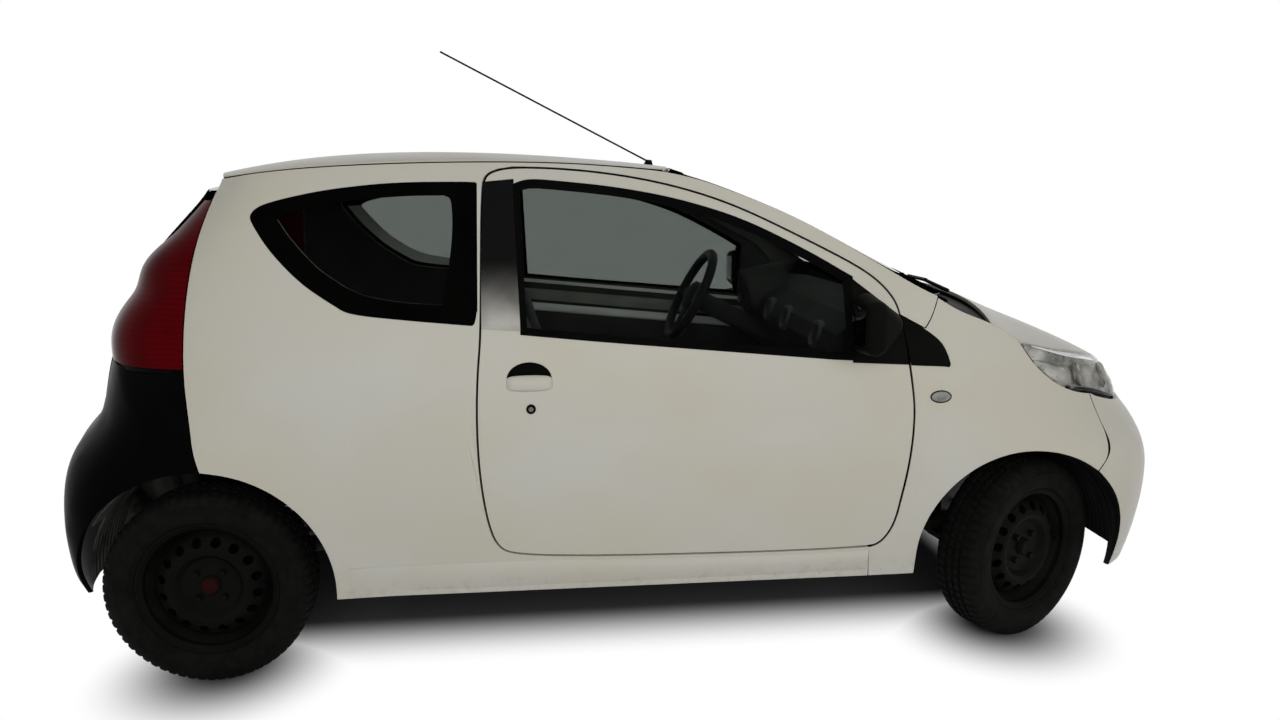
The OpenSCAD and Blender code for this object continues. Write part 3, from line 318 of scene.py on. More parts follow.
FINISHED_NODES = {
    UNDER: ("floor_pan",), LINER: ("arch_liners",), ALLOY: ("engine",), STEEL: ("exhaust",),
    PLASTIC: ("cowl", "wipers", "grille", "antenna", "fuel_tank"), INTERIOR: ("dashboard", "steering_wheel"),
    IRON: ("rear_axle", "front_subframe", "dampers", "knuckle_left", "knuckle_right"),
    RIM: ["rim_" + corner for corner in CORNERS],
}


# Curves and the car's flank, as in the part's source, in millimetres

def clamp(t):
    return min(max(t, 0), 1)


def smooth(t):
    c = clamp(t)
    return c * c * (3 - 2 * c)


def lerp(a, b, t):
    return tuple(p + (q - p) * t for p, q in zip(a, b))


def hermite(a, slope_a, b, slope_b, t):
    return ((2 * t ** 3 - 3 * t * t + 1) * a + (t ** 3 - 2 * t * t + t) * slope_a
            + (3 * t * t - 2 * t ** 3) * b + (t ** 3 - t * t) * slope_b)


def graph(k, x):
    """The height at x of a smooth line through the points k."""
    i = 0
    while i < len(k) - 2 and x >= k[i + 1][0]:
        i += 1
    h = k[i + 1][0] - k[i][0]

    def slope(j):
        a, b = max(j - 1, 0), min(j + 1, len(k) - 1)
        return (k[b][1] - k[a][1]) / (k[b][0] - k[a][0]) * h

    return hermite(k[i][1], slope(i), k[i + 1][1], slope(i + 1), clamp((x - k[i][0]) / h))


def curve_at(p, u):
    """A point of a smooth line through the points p, with u counting them."""
    n = len(p) - 1
    i = min(int(u), n - 1)
    a, b, c, d = p[max(i - 1, 0)], p[i], p[i + 1], p[min(i + 2, n)]
    point = []
    for k in range(len(b)):
        m0 = c[k] - b[k] if i == 0 else (c[k] - a[k]) / 2
        m1 = c[k] - b[k] if i == n - 1 else (d[k] - b[k]) / 2
        point.append(hermite(b[k], m0, c[k], m1, u - i))
    return tuple(point)


def curve(p, n):
    return [curve_at(p, i * (len(p) - 1) / n) for i in range(n + 1)]


NOSE = [(150, 45), (200, 30), (280, 15), (380, 4), (480, 0), (560, 4), (610, 16), (660, 38), (745, 78), (800, 105),
        (866, 150), (950, 240), (1060, 420)]
NOSE_N = [(150, 8), (480, 8), (600, 7), (660, 5), (745, 4), (1100, 4)]
TAIL = [(230, 40), (250, 24), (300, 11), (400, 4), (500, 0), (570, 3), (620, 5), (645, 9), (670, 20), (700, 46),
        (725, 70), (760, 80), (800, 88), (880, 107), (1000, 150), (1114, 205), (1198, 262), (1322, 377), (1392, 427),
        (1430, 455)]
TAIL_N = [(240, 14), (300, 16.5), (430, 16.5), (500, 15), (570, 13.5), (620, 11), (670, 8), (725, 7), (1430, 7)]
LAMP_IN = [(700, 500), (885, 515), (1000, 520), (1100, 518), (1200, 512), (1300, 505), (1420, 488)]


def flank_at(z):
    return WAIST_Y - (0.00026 * (WAIST_Z - z) ** 2 if z < WAIST_Z else 0.0025 * (z - WAIST_Z) ** 1.706)


def end_point(a, z, ends, bends, sign, start):
    """A point of the rounded nose or tail by plan angle in radians, 0 at the flank."""
    reach = HALF_LENGTH - graph(ends, z) - start
    return Vector((sign * (start + reach * sin(a) ** (2 / graph(bends, z))), flank_at(z) * cos(a), z))


def tail_point(a, z):
    return end_point(a, z, TAIL, TAIL_N, -1, TAIL_START)


def nose_point(y, z):
    return end_point(acos(y / flank_at(z)), z, NOSE, NOSE_N, 1, NOSE_START)


def half_width(x, z):
    """The flank's distance from the middle plane."""
    nose = clamp((x - NOSE_START) / (HALF_LENGTH - graph(NOSE, z) - NOSE_START))
    tail = clamp((-TAIL_START - x) / (TAIL_REACH - graph(TAIL, z)))
    swell = sum(1 - smooth((hypot(x - cx, z - TYRE_R) - r) / FLARE_REACH)
                for cx, r in ((FRONT_X, ARCH_F), (REAR_X, ARCH_R)))
    rounded = sqrt(1 - nose ** graph(NOSE_N, z)) * sqrt(1 - tail ** graph(TAIL_N, z))
    return flank_at(z) * rounded + FLARE * swell


def on_side(p, side, out=0.0):
    """A side-view point in millimetres, set on the flank and moved outward by out."""
    return Vector((p[0], SIDES[side] * (half_width(*p) + out), p[1])) / 1000


def offset(outline, distances):
    """A closed outline moved outward, by a distance for each point."""
    n = len(outline)
    moved = []
    for i, p in enumerate(outline):
        normals = []
        for a, b in ((outline[i - 1], p), (p, outline[(i + 1) % n])):
            v = (b[0] - a[0], b[1] - a[1])
            length = max(hypot(*v), 1e-6)
            normals.append((v[1] / length, -v[0] / length))
        (ux, uz), (vx, vz) = normals
        scale = distances[i] / max(1 + ux * vx + uz * vz, 0.4)
        moved.append((p[0] + scale * (ux + vx), p[1] + scale * (uz + vz)))
    return moved


# Mesh helpers

def give(obj, *mats):
    obj.data.materials.clear()
    for mat in mats:
        obj.data.materials.append(mat)
    return obj


def add_object(name, data):
    obj = bpy.data.objects.new(name, data)
    bpy.context.scene.collection.objects.link(obj)
    return obj


def from_bmesh(name, bm):
    """A smooth-shaded object from the mesh that was being built."""
    bmesh.ops.recalc_face_normals(bm, faces=bm.faces)
    mesh = bpy.data.meshes.new(name)
    bm.to_mesh(mesh)
    bm.free()
    mesh.shade_smooth()
    return add_object(name, mesh)


def piece(name, verts, faces, slot, mat, body="chassis", sharp=35, levels=0, matrix=None):
    """A closed piece from points and faces, which rides on a body."""
    bm = bmesh.new()
    points = [bm.verts.new(matrix @ Vector(v) if matrix else v) for v in verts]
    for face in faces:
        bm.faces.new([points[i] for i in face])
    obj = give(from_bmesh(name, bm), mat)
    obj.data.set_sharp_from_angle(angle=radians(sharp))
    if levels:
        add_rounding(obj, levels)
    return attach(obj, body)


def add_rounding(obj, levels):
    rounding = obj.modifiers.new("smooth", "SUBSURF")
    rounding.levels = levels
    rounding.render_levels = levels


def slab(front, back, loop):
    """Points and faces of a closed sheet between two grids of points."""
    cols, half = len(front[0]), len(front) * len(front[0])
    quads = []
    for i in range(0, half - cols, cols):
        for j in range(cols if loop else cols - 1):
            k = (j + 1) % cols
            quads.append((i + j, i + k, i + cols + k, i + cols + j))
    edges = {(q[m - 1], q[m]) for q in quads for m in range(4)}
    rim = [(b, a, half + a, half + b) for a, b in sorted(edges) if (b, a) not in edges]
    faces = quads + [tuple(half + i for i in reversed(q)) for q in quads] + rim
    return [point for grid in (front, back) for row in grid for point in row], faces


def flank_sheet(name, rows, side, slot, mat, body="chassis", loop=False, **more):
    """A closed sheet on the flank from rows of (side-view point, height, height of its back)."""
    front = [[on_side(p, side, out) for p, out, _ in row] for row in rows]
    back = [[on_side(p, side, low) for p, _, low in row] for row in rows]
    return piece(name + "_" + side, *slab(front, back, loop), slot, mat, body, **more)


def film(name, outer, inner, side, profile, slot, mat, body="chassis", loop=False, depth=5.0):
    """A thin sheet on the flank between two outlines. The profile gives its height along the way across."""
    rows = [[(lerp(a, b, s), out, out - depth) for a, b in zip(outer, inner)] for s, out in profile]
    return flank_sheet(name, rows, side, slot, mat, body, loop)


def ring_film(name, surface, inner, lift, depth, body, count=112, rows=4):
    """A border on a surface of (u, s), from its outline in to a rounded frame of (middle u, half u, half s)."""
    def spot(share, k):
        a = 2 * pi * k / count
        c, d = cos(a), sin(a)
        square = max(abs(c), abs(d))
        rounded = (abs(c) ** 9 + abs(d) ** 9) ** (1 / 9)
        u, v = lerp((0.5 + 0.495 * d / square, 0.994 * c / square),
                    (inner[0] + inner[1] * d / rounded, inner[2] * c / rounded), share)
        at = surface(u, v)
        return at, (surface(u + 0.004, v) - at).cross(surface(u, v + 0.004) - at).normalized()

    spots = [[spot(i / rows, k) for k in range(count)] for i in range(rows + 1)]
    front, back = [[[(at + up * out) / 1000 for at, up in row] for row in spots] for out in (lift, lift - depth)]
    return piece(name, *slab(front, back, True), "black_gloss", FRIT, body)


def grid_piece(name, point, us, vs, inward, slot, mat, side=None, **more):
    """A closed sheet through point(u, v) in millimetres, with its back moved by inward(u, v)."""
    sign = SIDES.get(side, 1)

    def turned(q):
        return Vector((q.x, sign * q.y, q.z)) / 1000

    front = [[turned(point(u, v)) for v in vs] for u in us]
    back = [[turned(point(u, v) + inward(u, v)) for v in vs] for u in us]
    full_name = name + "_" + side if side else name
    return piece(full_name, *slab(front, back, False), slot, mat, **more)


def steps(a, b, n):
    return [a + (b - a) * i / n for i in range(n + 1)]


def facing(at, axis):
    """A matrix in metres that puts a lathe's axis along a direction."""
    return Matrix.Translation(Vector(at) / 1000) @ Vector(axis).to_track_quat("Z", "Y").to_matrix().to_4x4()


def level(out, rows):
    """A profile of one height."""
    return [(i / rows, out) for i in range(rows + 1)]


def lathe(profile, count, radius_at=None):
    """Points and faces of a closed profile of (radius, height) turned about Z."""
    n = len(profile)
    verts, faces = [], []
    for i in range(count):
        a = 2 * pi * i / count
        for k, (r, z) in enumerate(profile):
            q = radius_at(k, i, r) if radius_at else r
            verts.append((q * cos(a) / 1000, q * sin(a) / 1000, z / 1000))
        j = (i + 1) % count
        for k in range(n):
            m = (k + 1) % n
            faces.append((i * n + k, j * n + k, j * n + m, i * n + m))
    return verts, faces


def joined(meshes):
    """One list of points and one of faces from several closed forms."""
    verts, faces = [], []
    for points, around in meshes:
        faces += [tuple(len(verts) + i for i in face) for face in around]
        verts += points
    return verts, faces


def moved(mesh, x, y, z):
    return [(p[0] + x, p[1] + y, p[2] + z) for p in mesh[0]], mesh[1]


def frame_slot(node):
    return next(s["material_slot"] for s in frame["record"]["subparts"] if s["node"] == node)


def smooth_panel(node, mat, edge=0.003, levels=2, fold=28, inner=None, is_inner=None):
    """The node's own form with quads, rounded edges and smooth curves. Inner faces may have a finish of their own."""
    cad = NODES[node]
    bm = bmesh.new()
    bm.from_mesh(cad.data)
    bmesh.ops.remove_doubles(bm, verts=bm.verts, dist=2e-5)
    bmesh.ops.dissolve_degenerate(bm, edges=bm.edges, dist=1e-6)
    bmesh.ops.join_triangles(bm, faces=bm.faces, angle_face_threshold=radians(fold), angle_shape_threshold=radians(170))
    bmesh.ops.recalc_face_normals(bm, faces=bm.faces)
    for face in bm.faces:
        face.material_index = 1 if inner and is_inner(face.normal, face.calc_center_median()) else 0
    obj = from_bmesh(node + "_panel", bm)
    for finish in [mat, inner] if inner else [mat]:
        obj.data.materials.append(finish)
    bevel = obj.modifiers.new("edge", "BEVEL")
    bevel.width = edge
    bevel.segments = 2
    bevel.limit_method = "ANGLE"
    bevel.angle_limit = radians(42)
    add_rounding(obj, levels)
    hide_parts(node)
    frame_slot(node)
    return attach(obj, cad["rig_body"])


# Body panels

def faces_cabin(normal, centre):
    return normal.y * centre.y < 0 and abs(normal.y) > 0.35


def door_card(normal, centre):
    """Inner faces of a door, and the rim of its window."""
    height = centre.z - (BELT_Z / 1000 - BELT_FALL * centre.x)
    return faces_cabin(normal, centre) or (height > -0.03 and normal.y * copysign(1, centre.y) < 0.6)


def bumper_back(normal, centre):
    return normal.dot(Vector((centre.x - copysign(0.7, centre.x), centre.y, 0)).normalized()) < -0.2


def faces_down(normal, centre):
    return normal.z < -0.3


def lamp_back(normal, centre):
    return normal.dot(Vector((0.7, copysign(0.55, centre.y), 0.45))) < 0.05


for mat, names in FINISHED_NODES.items():
    for name in names:
        give(NODES[name], mat)

for side in SIDES:
    smooth_panel("side_" + side, PAINT, inner=INTERIOR, is_inner=faces_cabin)
    smooth_panel("door_" + side, PAINT, inner=INTERIOR, is_inner=door_card)
    smooth_panel("fender_" + side, PAINT, inner=UNDER, is_inner=faces_cabin)
smooth_panel("front_bumper", PAINT, inner=UNDER, is_inner=bumper_back)
smooth_panel("hood", PAINT, inner=UNDER, is_inner=faces_down)
smooth_panel("roof", PAINT, inner=LINING, is_inner=faces_down)
smooth_panel("rear_bumper", BUMPER_BLACK)
for name in ("windscreen", "quarter_glass", "door_glass_left", "door_glass_right", "tailgate"):
    smooth_panel(name, GLASS, edge=0.001)
smooth_panel("tail_lamps", RED)
smooth_panel("headlamps", CLEAR, inner=BUCKET, is_inner=lamp_back)
for name in ("mirror_left", "mirror_right"):
    smooth_panel(name, PLASTIC, edge=0.006, fold=45)


# Window seals, black films and the pane's border

# Outlines as distances ahead of the rear axle and below the roof
PANE = {
    "rear": [(861, 103), (866, 250), (875, 495)],
    "low": [(875, 495), (1087, 517), (1363, 543), (1805, 584)],
    "front": [(1805, 584), (1808, 478), (1805, 362)],
    "top": [(1805, 362), (1665, 283), (1496, 203), (1326, 150), (1157, 117), (989, 98), (905, 93), (861, 103)],
}
LIGHT = {
    "front": [(757, 92), (757, 112), (756, 250), (754, 477)],
    "low": [(754, 477), (552, 457), (421, 439), (369, 413)],
    "back": [(369, 413), (291, 359), (211, 278), (162, 208), (152, 184), (160, 168)],
    "top": [(160, 168), (190, 150), (285, 126), (389, 108), (549, 93), (757, 92)],
}
CLEAR_LIGHT = {
    "front": [(666, 129), (686, 148), (687, 250), (664, 420)],
    "low": [(664, 420), (540, 409), (455, 391), (400, 366)],
    "back": [(400, 366), (330, 316), (262, 243), (225, 192), (222, 198), (232, 183)],
    "top": [(232, 183), (262, 171), (330, 156), (430, 141), (560, 131), (666, 129)],
}
SEAL_WIDTH = {"rear": (6, 12), "low": (7, 13), "front": (5, 22), "top": (8, 18)}
PANE_COUNTS = {"rear": 12, "low": 24, "front": 12, "top": 40}
LIGHT_COUNTS = {"front": 16, "low": 24, "back": 30, "top": 30}


def under_roof(points):
    return [(REAR_X + ahead, ROOF_Z - below) for ahead, below in points]


def outline(parts, counts):
    return [p for key, n in counts.items() for p in curve(under_roof(parts[key]), n)[:-1]]


def low_edge(parts):
    """The lower line of a quarter window and most of its rear one."""
    low, back = [curve(under_roof(parts[key]), LIGHT_COUNTS[key]) for key in ("low", "back")]
    return low + back[1:-8]


def window_trim(side):
    door = "door_" + side
    opening = outline(PANE, PANE_COUNTS)
    widths = [SEAL_WIDTH[key] for key, n in PANE_COUNTS.items() for _ in range(n)]
    film("window_seal", offset(opening, [w[0] for w in widths]), offset(opening, [-w[1] for w in widths]), side,
         ((0, 0.6), (0.1, 1.8), (0.28, 2.2), (0.5, 1.4), (0.7, -1.5), (1, -4.2)), "black_plastic", SEAL, door,
         loop=True, depth=3)
    rear_edge = curve(under_roof([(773, 92), (771, 168), (768, 250), (765, 368), (764, 484)]), 16)
    front_edge = curve(under_roof([(858, 84), (861, 168), (864, 250), (867, 368), (869, 492)]), 16)
    film("pillar_film", rear_edge, front_edge, side, level(0.9, 6), "black_gloss", PILLAR, door)
    film("mirror_sail", curve([(556, 873), (556, 990), (556, 1112)], 12),
         curve([(720, 864), (711.5, 935), (697, 1003)], 12), side, level(1.8, 8), "black_plastic", PLASTIC, door)
    film("fender_sail", curve([(704, 1000), (771, 963), (822, 921), (845, 868), (842, 853.5)], 20),
         curve([(728, 862), (757, 860), (795, 858), (826, 856), (841, 854)], 20), side, level(1.6, 6),
         "black_plastic", PLASTIC)
    film("pane_border", outline(LIGHT, LIGHT_COUNTS), outline(CLEAR_LIGHT, LIGHT_COUNTS), side,
         ((0, -1.2), (0.06, -1.6), (0.25, -2.2), (0.5, -2.3), (0.75, -2.4), (1, -2.5)), "black_gloss", FRIT,
         loop=True, depth=0.5)
    # The flange inside the quarter window's lower edge is near white: painted light.
    film("light_flange", low_edge(LIGHT), low_edge(CLEAR_LIGHT), side,
         ((0.3, -12), (0.5, -13), (0.8, -13), (0.97, -12)), "paint", LIT_DOOR_METAL, depth=2.5)


# Rounded sill under the door

DOOR_LOW = [(-389, 346), (-164, 332), (125, 324), (421, 319), (626, 322)]
SILL_REAR, SILL_BACK, FLUSH = -860, -9, 0.3
SILL_PROFILE = ((0, -7), (0.12, -1.5), (0.3, 3.5), (0.55, 6.5), (0.72, 7), (0.84, 5), (0.93, 2), (1, -0.5))


def sill_cover(side):
    xs = steps(SILL_REAR, DOOR_LOW[-1][0], 44)
    top = [(x, min(graph(DOOR_LOW, max(x, DOOR_LOW[0][0])), 340) - 13) for x in xs]
    low = [(x, 229 + 4 * smooth((-500 - x) / 400)) for x in xs]

    def row(share, out):
        for a, b in zip(low, top):
            fade = smooth((a[0] + 870) / 480)
            yield lerp(a, b, share), min(out, FLUSH) + (max(out, FLUSH) - FLUSH) * fade, SILL_BACK

    flank_sheet("sill_cover", [list(row(*p)) for p in SILL_PROFILE], side, "paint", PAINT, sharp=60)


# Door handle, lock and side lamps

HANDLE_X, HANDLE_Z, HANDLE_HALF = -355, 838, 63
LOCK_AT = (-352, 768)
SIDE_LAMP_AT = (816, 771)
BUTTON_BACK = -4


def dome(name, centre, size, height, side, slot, mat, body="chassis", low=-1.0, lift=0.5):
    """An oval button on the flank. A low of 0 leaves only its upper half."""
    rings, count = steps(0, 1, 6)[1:], 40
    rows = []
    for s in rings:
        rise = lift + height * sqrt(max(1 - s * s, 0))
        angles = [2 * pi * k / count for k in range(count)]
        ring = [(centre[0] + size[0] * s * cos(a), centre[1] + size[1] * s * max(sin(a), low)) for a in angles]
        rows.append((ring, rise))
    front = [[on_side(p, side, rise) for p in ring] for ring, rise in rows]
    back = [[on_side(p, side, BUTTON_BACK) for p in ring] for ring, rise in rows]
    verts, faces = slab(front, back, True)
    half = len(verts) // 2
    first_ring = {*range(count), *range(half, half + count)}
    faces = [f for f in faces if not set(f) <= first_ring]
    verts += [on_side(centre, side, lift + height), on_side(centre, side, BUTTON_BACK)]
    for k in range(count):
        j = (k + 1) % count
        faces += [(k, j, 2 * half), (half + j, half + k, 2 * half + 1)]
    return piece(name + "_" + side, verts, faces, slot, mat, body, sharp=50)


def door_handle(side):
    door = "door_" + side
    # The handle's pocket is a flat black dome in place of a recess: painted shade.
    dome("handle_pocket_shade", (HANDLE_X, HANDLE_Z + 11), (61, 45), 0.5, side, "black_plastic", SEAL, door, low=-0.12)

    def flap(t):
        reach = sqrt(max(1 - t * t, 0)) ** 0.6
        for turn in steps(-80, 90, 8):
            a = radians(turn)
            at = (HANDLE_X + HANDLE_HALF * t, HANDLE_Z + (13 + 9 * reach) * sin(a))
            yield at, 0.4 + 12 * reach * cos(a), BUTTON_BACK

    flank_sheet("handle_flap", [list(flap(t)) for t in steps(-1, 1, 12)], side, "paint", PAINT, door, levels=1)
    dome("door_lock", LOCK_AT, (13, 13), 2.0, side, "black_plastic", PLASTIC, door)
    dome("lock_face", LOCK_AT, (8, 8), 3.2, side, "steel", STEEL, door)


def side_lamp(side):
    dome("side_lamp_base", SIDE_LAMP_AT, (32, 18), 1.0, side, "black_plastic", PLASTIC)
    dome("side_lamp_bulb", (814, 771), (9, 8), 3.0, side, "lamp_clear", AMBER, lift=1.0)
    dome("side_lamp", SIDE_LAMP_AT, (29, 15.5), 6.0, side, "lamp_clear", BUCKET, lift=0.6)


for side in SIDES:
    window_trim(side)
    sill_cover(side)
    door_handle(side)
    side_lamp(side)


# Borders of windscreen and rear pane

SCREEN_EDGE = under_roof([(1275, 62), (1389, 87), (1529, 138), (1671, 199), (1812, 275), (1982, 376), (2063, 416)])
SCREEN_MID = under_roof([(1355, 46), (1640, 150), (1990, 315), (2313, 468)])
DOOR_TOP = [(700, 1003), (688, 1046), (647, 1093), (592, 1135), (479, 1194), (366, 1250), (253, 1303), (140, 1344),
            (0, 1380)]
LID_TOP, LID_LOW = ROOF_Z - 116, 716


def screen_point(u, v):
    edge = curve_at(SCREEN_EDGE, 0.17 + 5.73 * clamp(u))
    middle = curve_at(SCREEN_MID, 0.02 + 2.95 * clamp(u))
    y = half_width(*edge) - 37
    return Vector((middle[0] + (edge[0] - middle[0]) * v * v, -v * y, edge[1] + (middle[1] - edge[1]) * (1 - v * v)))


def lid_point(u, v):
    z = LID_TOP + (LID_LOW - LID_TOP) * u + (1 - abs(v)) * (14 - 20 * u)
    flat = acos((graph(LAMP_IN, z) - 8) / flank_at(z))
    return tail_point(pi / 2 + v * (pi / 2 - flat), z)


ring_film("screen_border", screen_point, (0.44, 0.385, 0.93), 2.2, 4.0, "chassis")
ring_film("rear_pane_border", lid_point, (0.46, 0.36, 0.88), 1.6, 3.0, "tailgate")


# Lamps

def flank_point(x, z):
    return Vector((x, half_width(x, z), z))


HOOD_EDGE = [(818, 1052), (881, 1013), (955, 986), (1014, 957), (1072, 920)]
LAMP_LOW = [flank_point(*q) for q in ((1077, 911), (1105, 869), (1147, 829), (1205, 789), (1273, 763), (1331, 753))]
LAMP_LOW += [nose_point(*q) for q in ((652, 737), (582, 703), (490, 696), (408, 748))]
LAMP_HIGH = [flank_point(x, graph(HOOD_EDGE, x)) for x in (983, 1029, 1072)]
LAMP_HIGH += [Vector(q) for q in ((1180, 712, 893), (1300, 634, 868), (1430, 528, 834), (1540, 400, 796))]
LAMP_BULGE = Vector((22, 22, 6))


def lamp_point(j, v):
    """The headlamp's outer face, with j from 0 to 12 along the car and v from 0, low, to 1."""
    a = Vector(curve_at(LAMP_LOW, 9 * j / 12))
    b = Vector(curve_at(LAMP_HIGH, 2.2 + 3.78 * j / 12)) + Vector((0, 1, -3))
    return a.lerp(b, v) + LAMP_BULGE * (4 * v * (1 - v) * sin(radians(15 * j)))


def into_lamp(j, depth):
    return Vector((-0.5, -0.75, -0.43)).lerp(Vector((-1, -0.1, -0.1)), smooth(j / 10)) * depth


def headlamp_optics(side):
    """Reflector bowls with bulbs, and the bright bezel along top and front, all under the clear lens."""
    sign = SIDES[side]
    bowl = [(4, -20), (22, -17), (35, -8), (41, 1), (43, 1), (38, -10), (24, -20), (4, -23)]
    bulb = [(0.5, -18), (6, -18), (6, -4), (4, 1), (0.5, 2)]
    for k, (j, v, scale) in enumerate(((5.4, 0.42, 0.9), (8.6, 0.5, 0.95))):
        at = lamp_point(j, v) + into_lamp(j, 20)
        axis = -into_lamp(j, 1)
        m = facing((at.x, sign * at.y, at.z), (axis.x, sign * axis.y, axis.z)) @ Matrix.Scale(scale, 4)
        piece(f"lamp_bowl_{k}_{side}", *lathe(bowl, 48), "lamp_clear", BOWL, matrix=m)
        piece(f"lamp_bulb_{k}_{side}", *lathe(bulb, 24), "lamp_clear", AMBER if k else PLASTIC, matrix=m)
    for name, us, vs in (("top", steps(0.8, 8.2, 24), steps(0.8, 0.93, 3)),
                         ("front", steps(9.6, 10.2, 3), steps(0.1, 0.84, 14))):
        grid_piece("lamp_bezel_" + name, lambda j, v: lamp_point(j, v) + into_lamp(j, 3.0), us, vs,
                   lambda j, v: into_lamp(j, 3.0), "lamp_clear", CHROME, side)


def lamp_gaskets(side):
    """Dark gaskets behind the joints of tail lamp and headlamp with the bumpers."""
    def tail(z, t):
        first = asin((557 / (TAIL_REACH - graph(TAIL, z))) ** (graph(TAIL_N, z) / 2))
        last = acos((graph(LAMP_IN, z) + 4) / flank_at(z))
        return tail_point(first + (last - first) * t, z) + Vector((11 * t, -11 * (1 - t), 0))

    def head(j, t):
        return lamp_point(j, 0.02) + Vector((0, 0, 16 * t)) + into_lamp(j, 17)

    grid_piece("lamp_gasket", tail, steps(879, 898, 3), steps(0, 1, 20),
               lambda z, t: Vector((18 * t, -18 * (1 - t), 0)), "black_plastic", SEAL, side)
    grid_piece("headlamp_gasket", head, steps(5, 11.6, 24), steps(-1, 0.6, 4), lambda j, t: into_lamp(j, 7),
               "black_plastic", SEAL, side)


# Turned-in edges of the wheel arches, and the mirrors' glass

def arch_return(name, side, centre_x, arch, spread, liner_y, first, last):
    """The edge of a wheel arch from one angle to another, turned in to the liner."""
    def point(a, v):
        radius = arch + (1 + spread * max(cos(a), 0) ** 2) * v
        x, z = centre_x + radius * cos(a), TYRE_R + radius * sin(a)
        return Vector((x, liner_y + (half_width(x, z) - 12 - liner_y) * v, z))

    grid_piece(name, point, steps(radians(first), radians(last), 40), steps(0, 1, 5),
               lambda a, v: Vector((4 * cos(a), 0, 4 * sin(a))), "black_plastic", LINER, side)


def mirror_glass(side):
    """Slightly domed glass in the mirror's open rear."""
    y0 = half_width(617, 943) + 93

    def point(u, v):
        bulge = 3 * (1 - (2 * u - 1) ** 2) * (1 - v * v)
        shrink = (1 - abs(2 * u - 1) ** 7) ** 0.25
        return Vector((541.5 - bulge, y0 - 56 + 110 * u, 989 + (57 - 8 * u) * v * shrink))

    grid_piece("mirror_glass", point, steps(0.015, 0.985, 18), steps(-1, 1, 14), lambda u, v: Vector((4, 0, 0)),
               "glass", MIRROR, side, body="door_" + side)


# Cabin

def over_belt(xs, height):
    """A line of points at a height over the sloping belt line."""
    return [(x, BELT_Z - BELT_FALL * x + height) for x in xs]


def door_trim(side):
    """Moulded card with an armrest, and the painted metal that shows above it, paler than the body paint as painted
    light.
    """
    door = "door_" + side
    xs = steps(-436, 646, 40)
    card = ((0, -62), (0.02, -70), (0.1, -73), (0.4, -72), (0.47, -84), (0.53, -88), (0.57, -80), (0.62, -72),
            (0.96, -71), (1, -64))
    film("door_card", [(x, 378) for x in xs], over_belt(xs, -143), side, card, "interior", CARD, door, depth=12)
    # The strip and top edge inside the door are near white: painted light.
    film("door_strip", over_belt(xs, -139), over_belt(xs, -104), side,
         ((0, -69), (0.15, -75), (0.5, -76), (0.9, -72), (1, -69)), "paint", LIT_DOOR_METAL, door, depth=4)
    for name, low, high, mat in (("door_rail", -90, -44, DOOR_RAIL), ("door_edge", -18, -5, LIT_DOOR_METAL)):
        profile = [(t, -74 + 38 * smooth((low + (high - low) * t + 70) / 80)) for t in steps(0, 1, 6)]
        film(name, over_belt(xs, low), over_belt(xs, high), side, profile, "interior", mat, door, depth=7)


def pillar_trim(side):
    outer = [(x, z - 14) for x, z in curve(SCREEN_EDGE, 30)][::-1]
    inner = [(x, z - 14) for x, z in curve(DOOR_TOP, 30)]
    film("pillar_trim", outer, inner, side, ((0, -37), (0.15, -40.5), (0.5, -41.5), (0.85, -41), (1, -40)),
         "interior", LINING, depth=7)


def dash_details():
    """Round vents, the gauge's rim and the padded top."""
    ring = [(26, -10), (31, 4), (36, 8), (42, 6), (44, 0), (44, -12), (40, -14), (36, -12), (30, -12)]
    blade = [(0.5, -4), (27, -4), (27, -1), (0.5, 0)]
    for k, y in enumerate((-465, -110, 110, 560)):
        m = facing((540, y, 906), (-1, 0, 0.3))
        piece(f"vent_ring_{k}", *lathe(ring, 40), "interior", VENT_RING, matrix=m)
        notched = lathe(blade, 40, lambda i, n, r: r * (1 - 0.12 * (n % 4 == 0)))
        piece(f"vent_core_{k}", *notched, "interior", INTERIOR, matrix=m)
    dial = [(0.5, 2), (66, 2), (70, 9), (88, 11), (93, 7), (93, -6), (0.5, -6)]
    piece("gauge_rim", *lathe(dial, 56), "interior", INTERIOR,
          matrix=facing((508, SEAT_Y, 940), (-0.978, 0, -0.208)))

    def dash_top(x, t):
        z = 985 - 10 * ((x - 765) / 90) ** 2 + 10 * cos(pi * (t - 0.5)) - 2
        return Vector((x, -622 + 1244 * t, z))

    grid_piece("dash_pad", dash_top, steps(640, 846, 14), steps(0, 1, 40), lambda x, t: Vector((0, 0, -22)),
               "interior", INTERIOR, levels=1)


STEERING_AT, STEERING_TILT = (279, SEAT_Y, 931), -63
GRIP_R, GRIP_THICK = 180, 18


def steering_grip():
    """Grip with finger lumps round the rim, and the hub's cover."""
    m = Matrix.Translation(Vector(STEERING_AT) / 1000) @ Matrix.Rotation(radians(STEERING_TILT), 4, "Y")
    circle = [(GRIP_R + GRIP_THICK * cos(a), GRIP_THICK * sin(a))
              for a in (radians(22.5 * k) for k in range(16))]

    def lumps(k, i, r):
        return r + (1.4 if i % 4 == 0 else 0) * (1 if circle[k][0] > GRIP_R else -1)

    body = NODES["steering_wheel"]["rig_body"]
    piece("steering_grip", *lathe(circle, 160, lumps), "interior", GRIP, body, sharp=60, matrix=m)
    cap = [(0.5, 17), (24, 16), (44, 12), (56, 6), (60, 0), (60, -6), (0.5, -6)]
    piece("steering_hub", *lathe(cap, 48), "interior", INTERIOR, body, matrix=m)


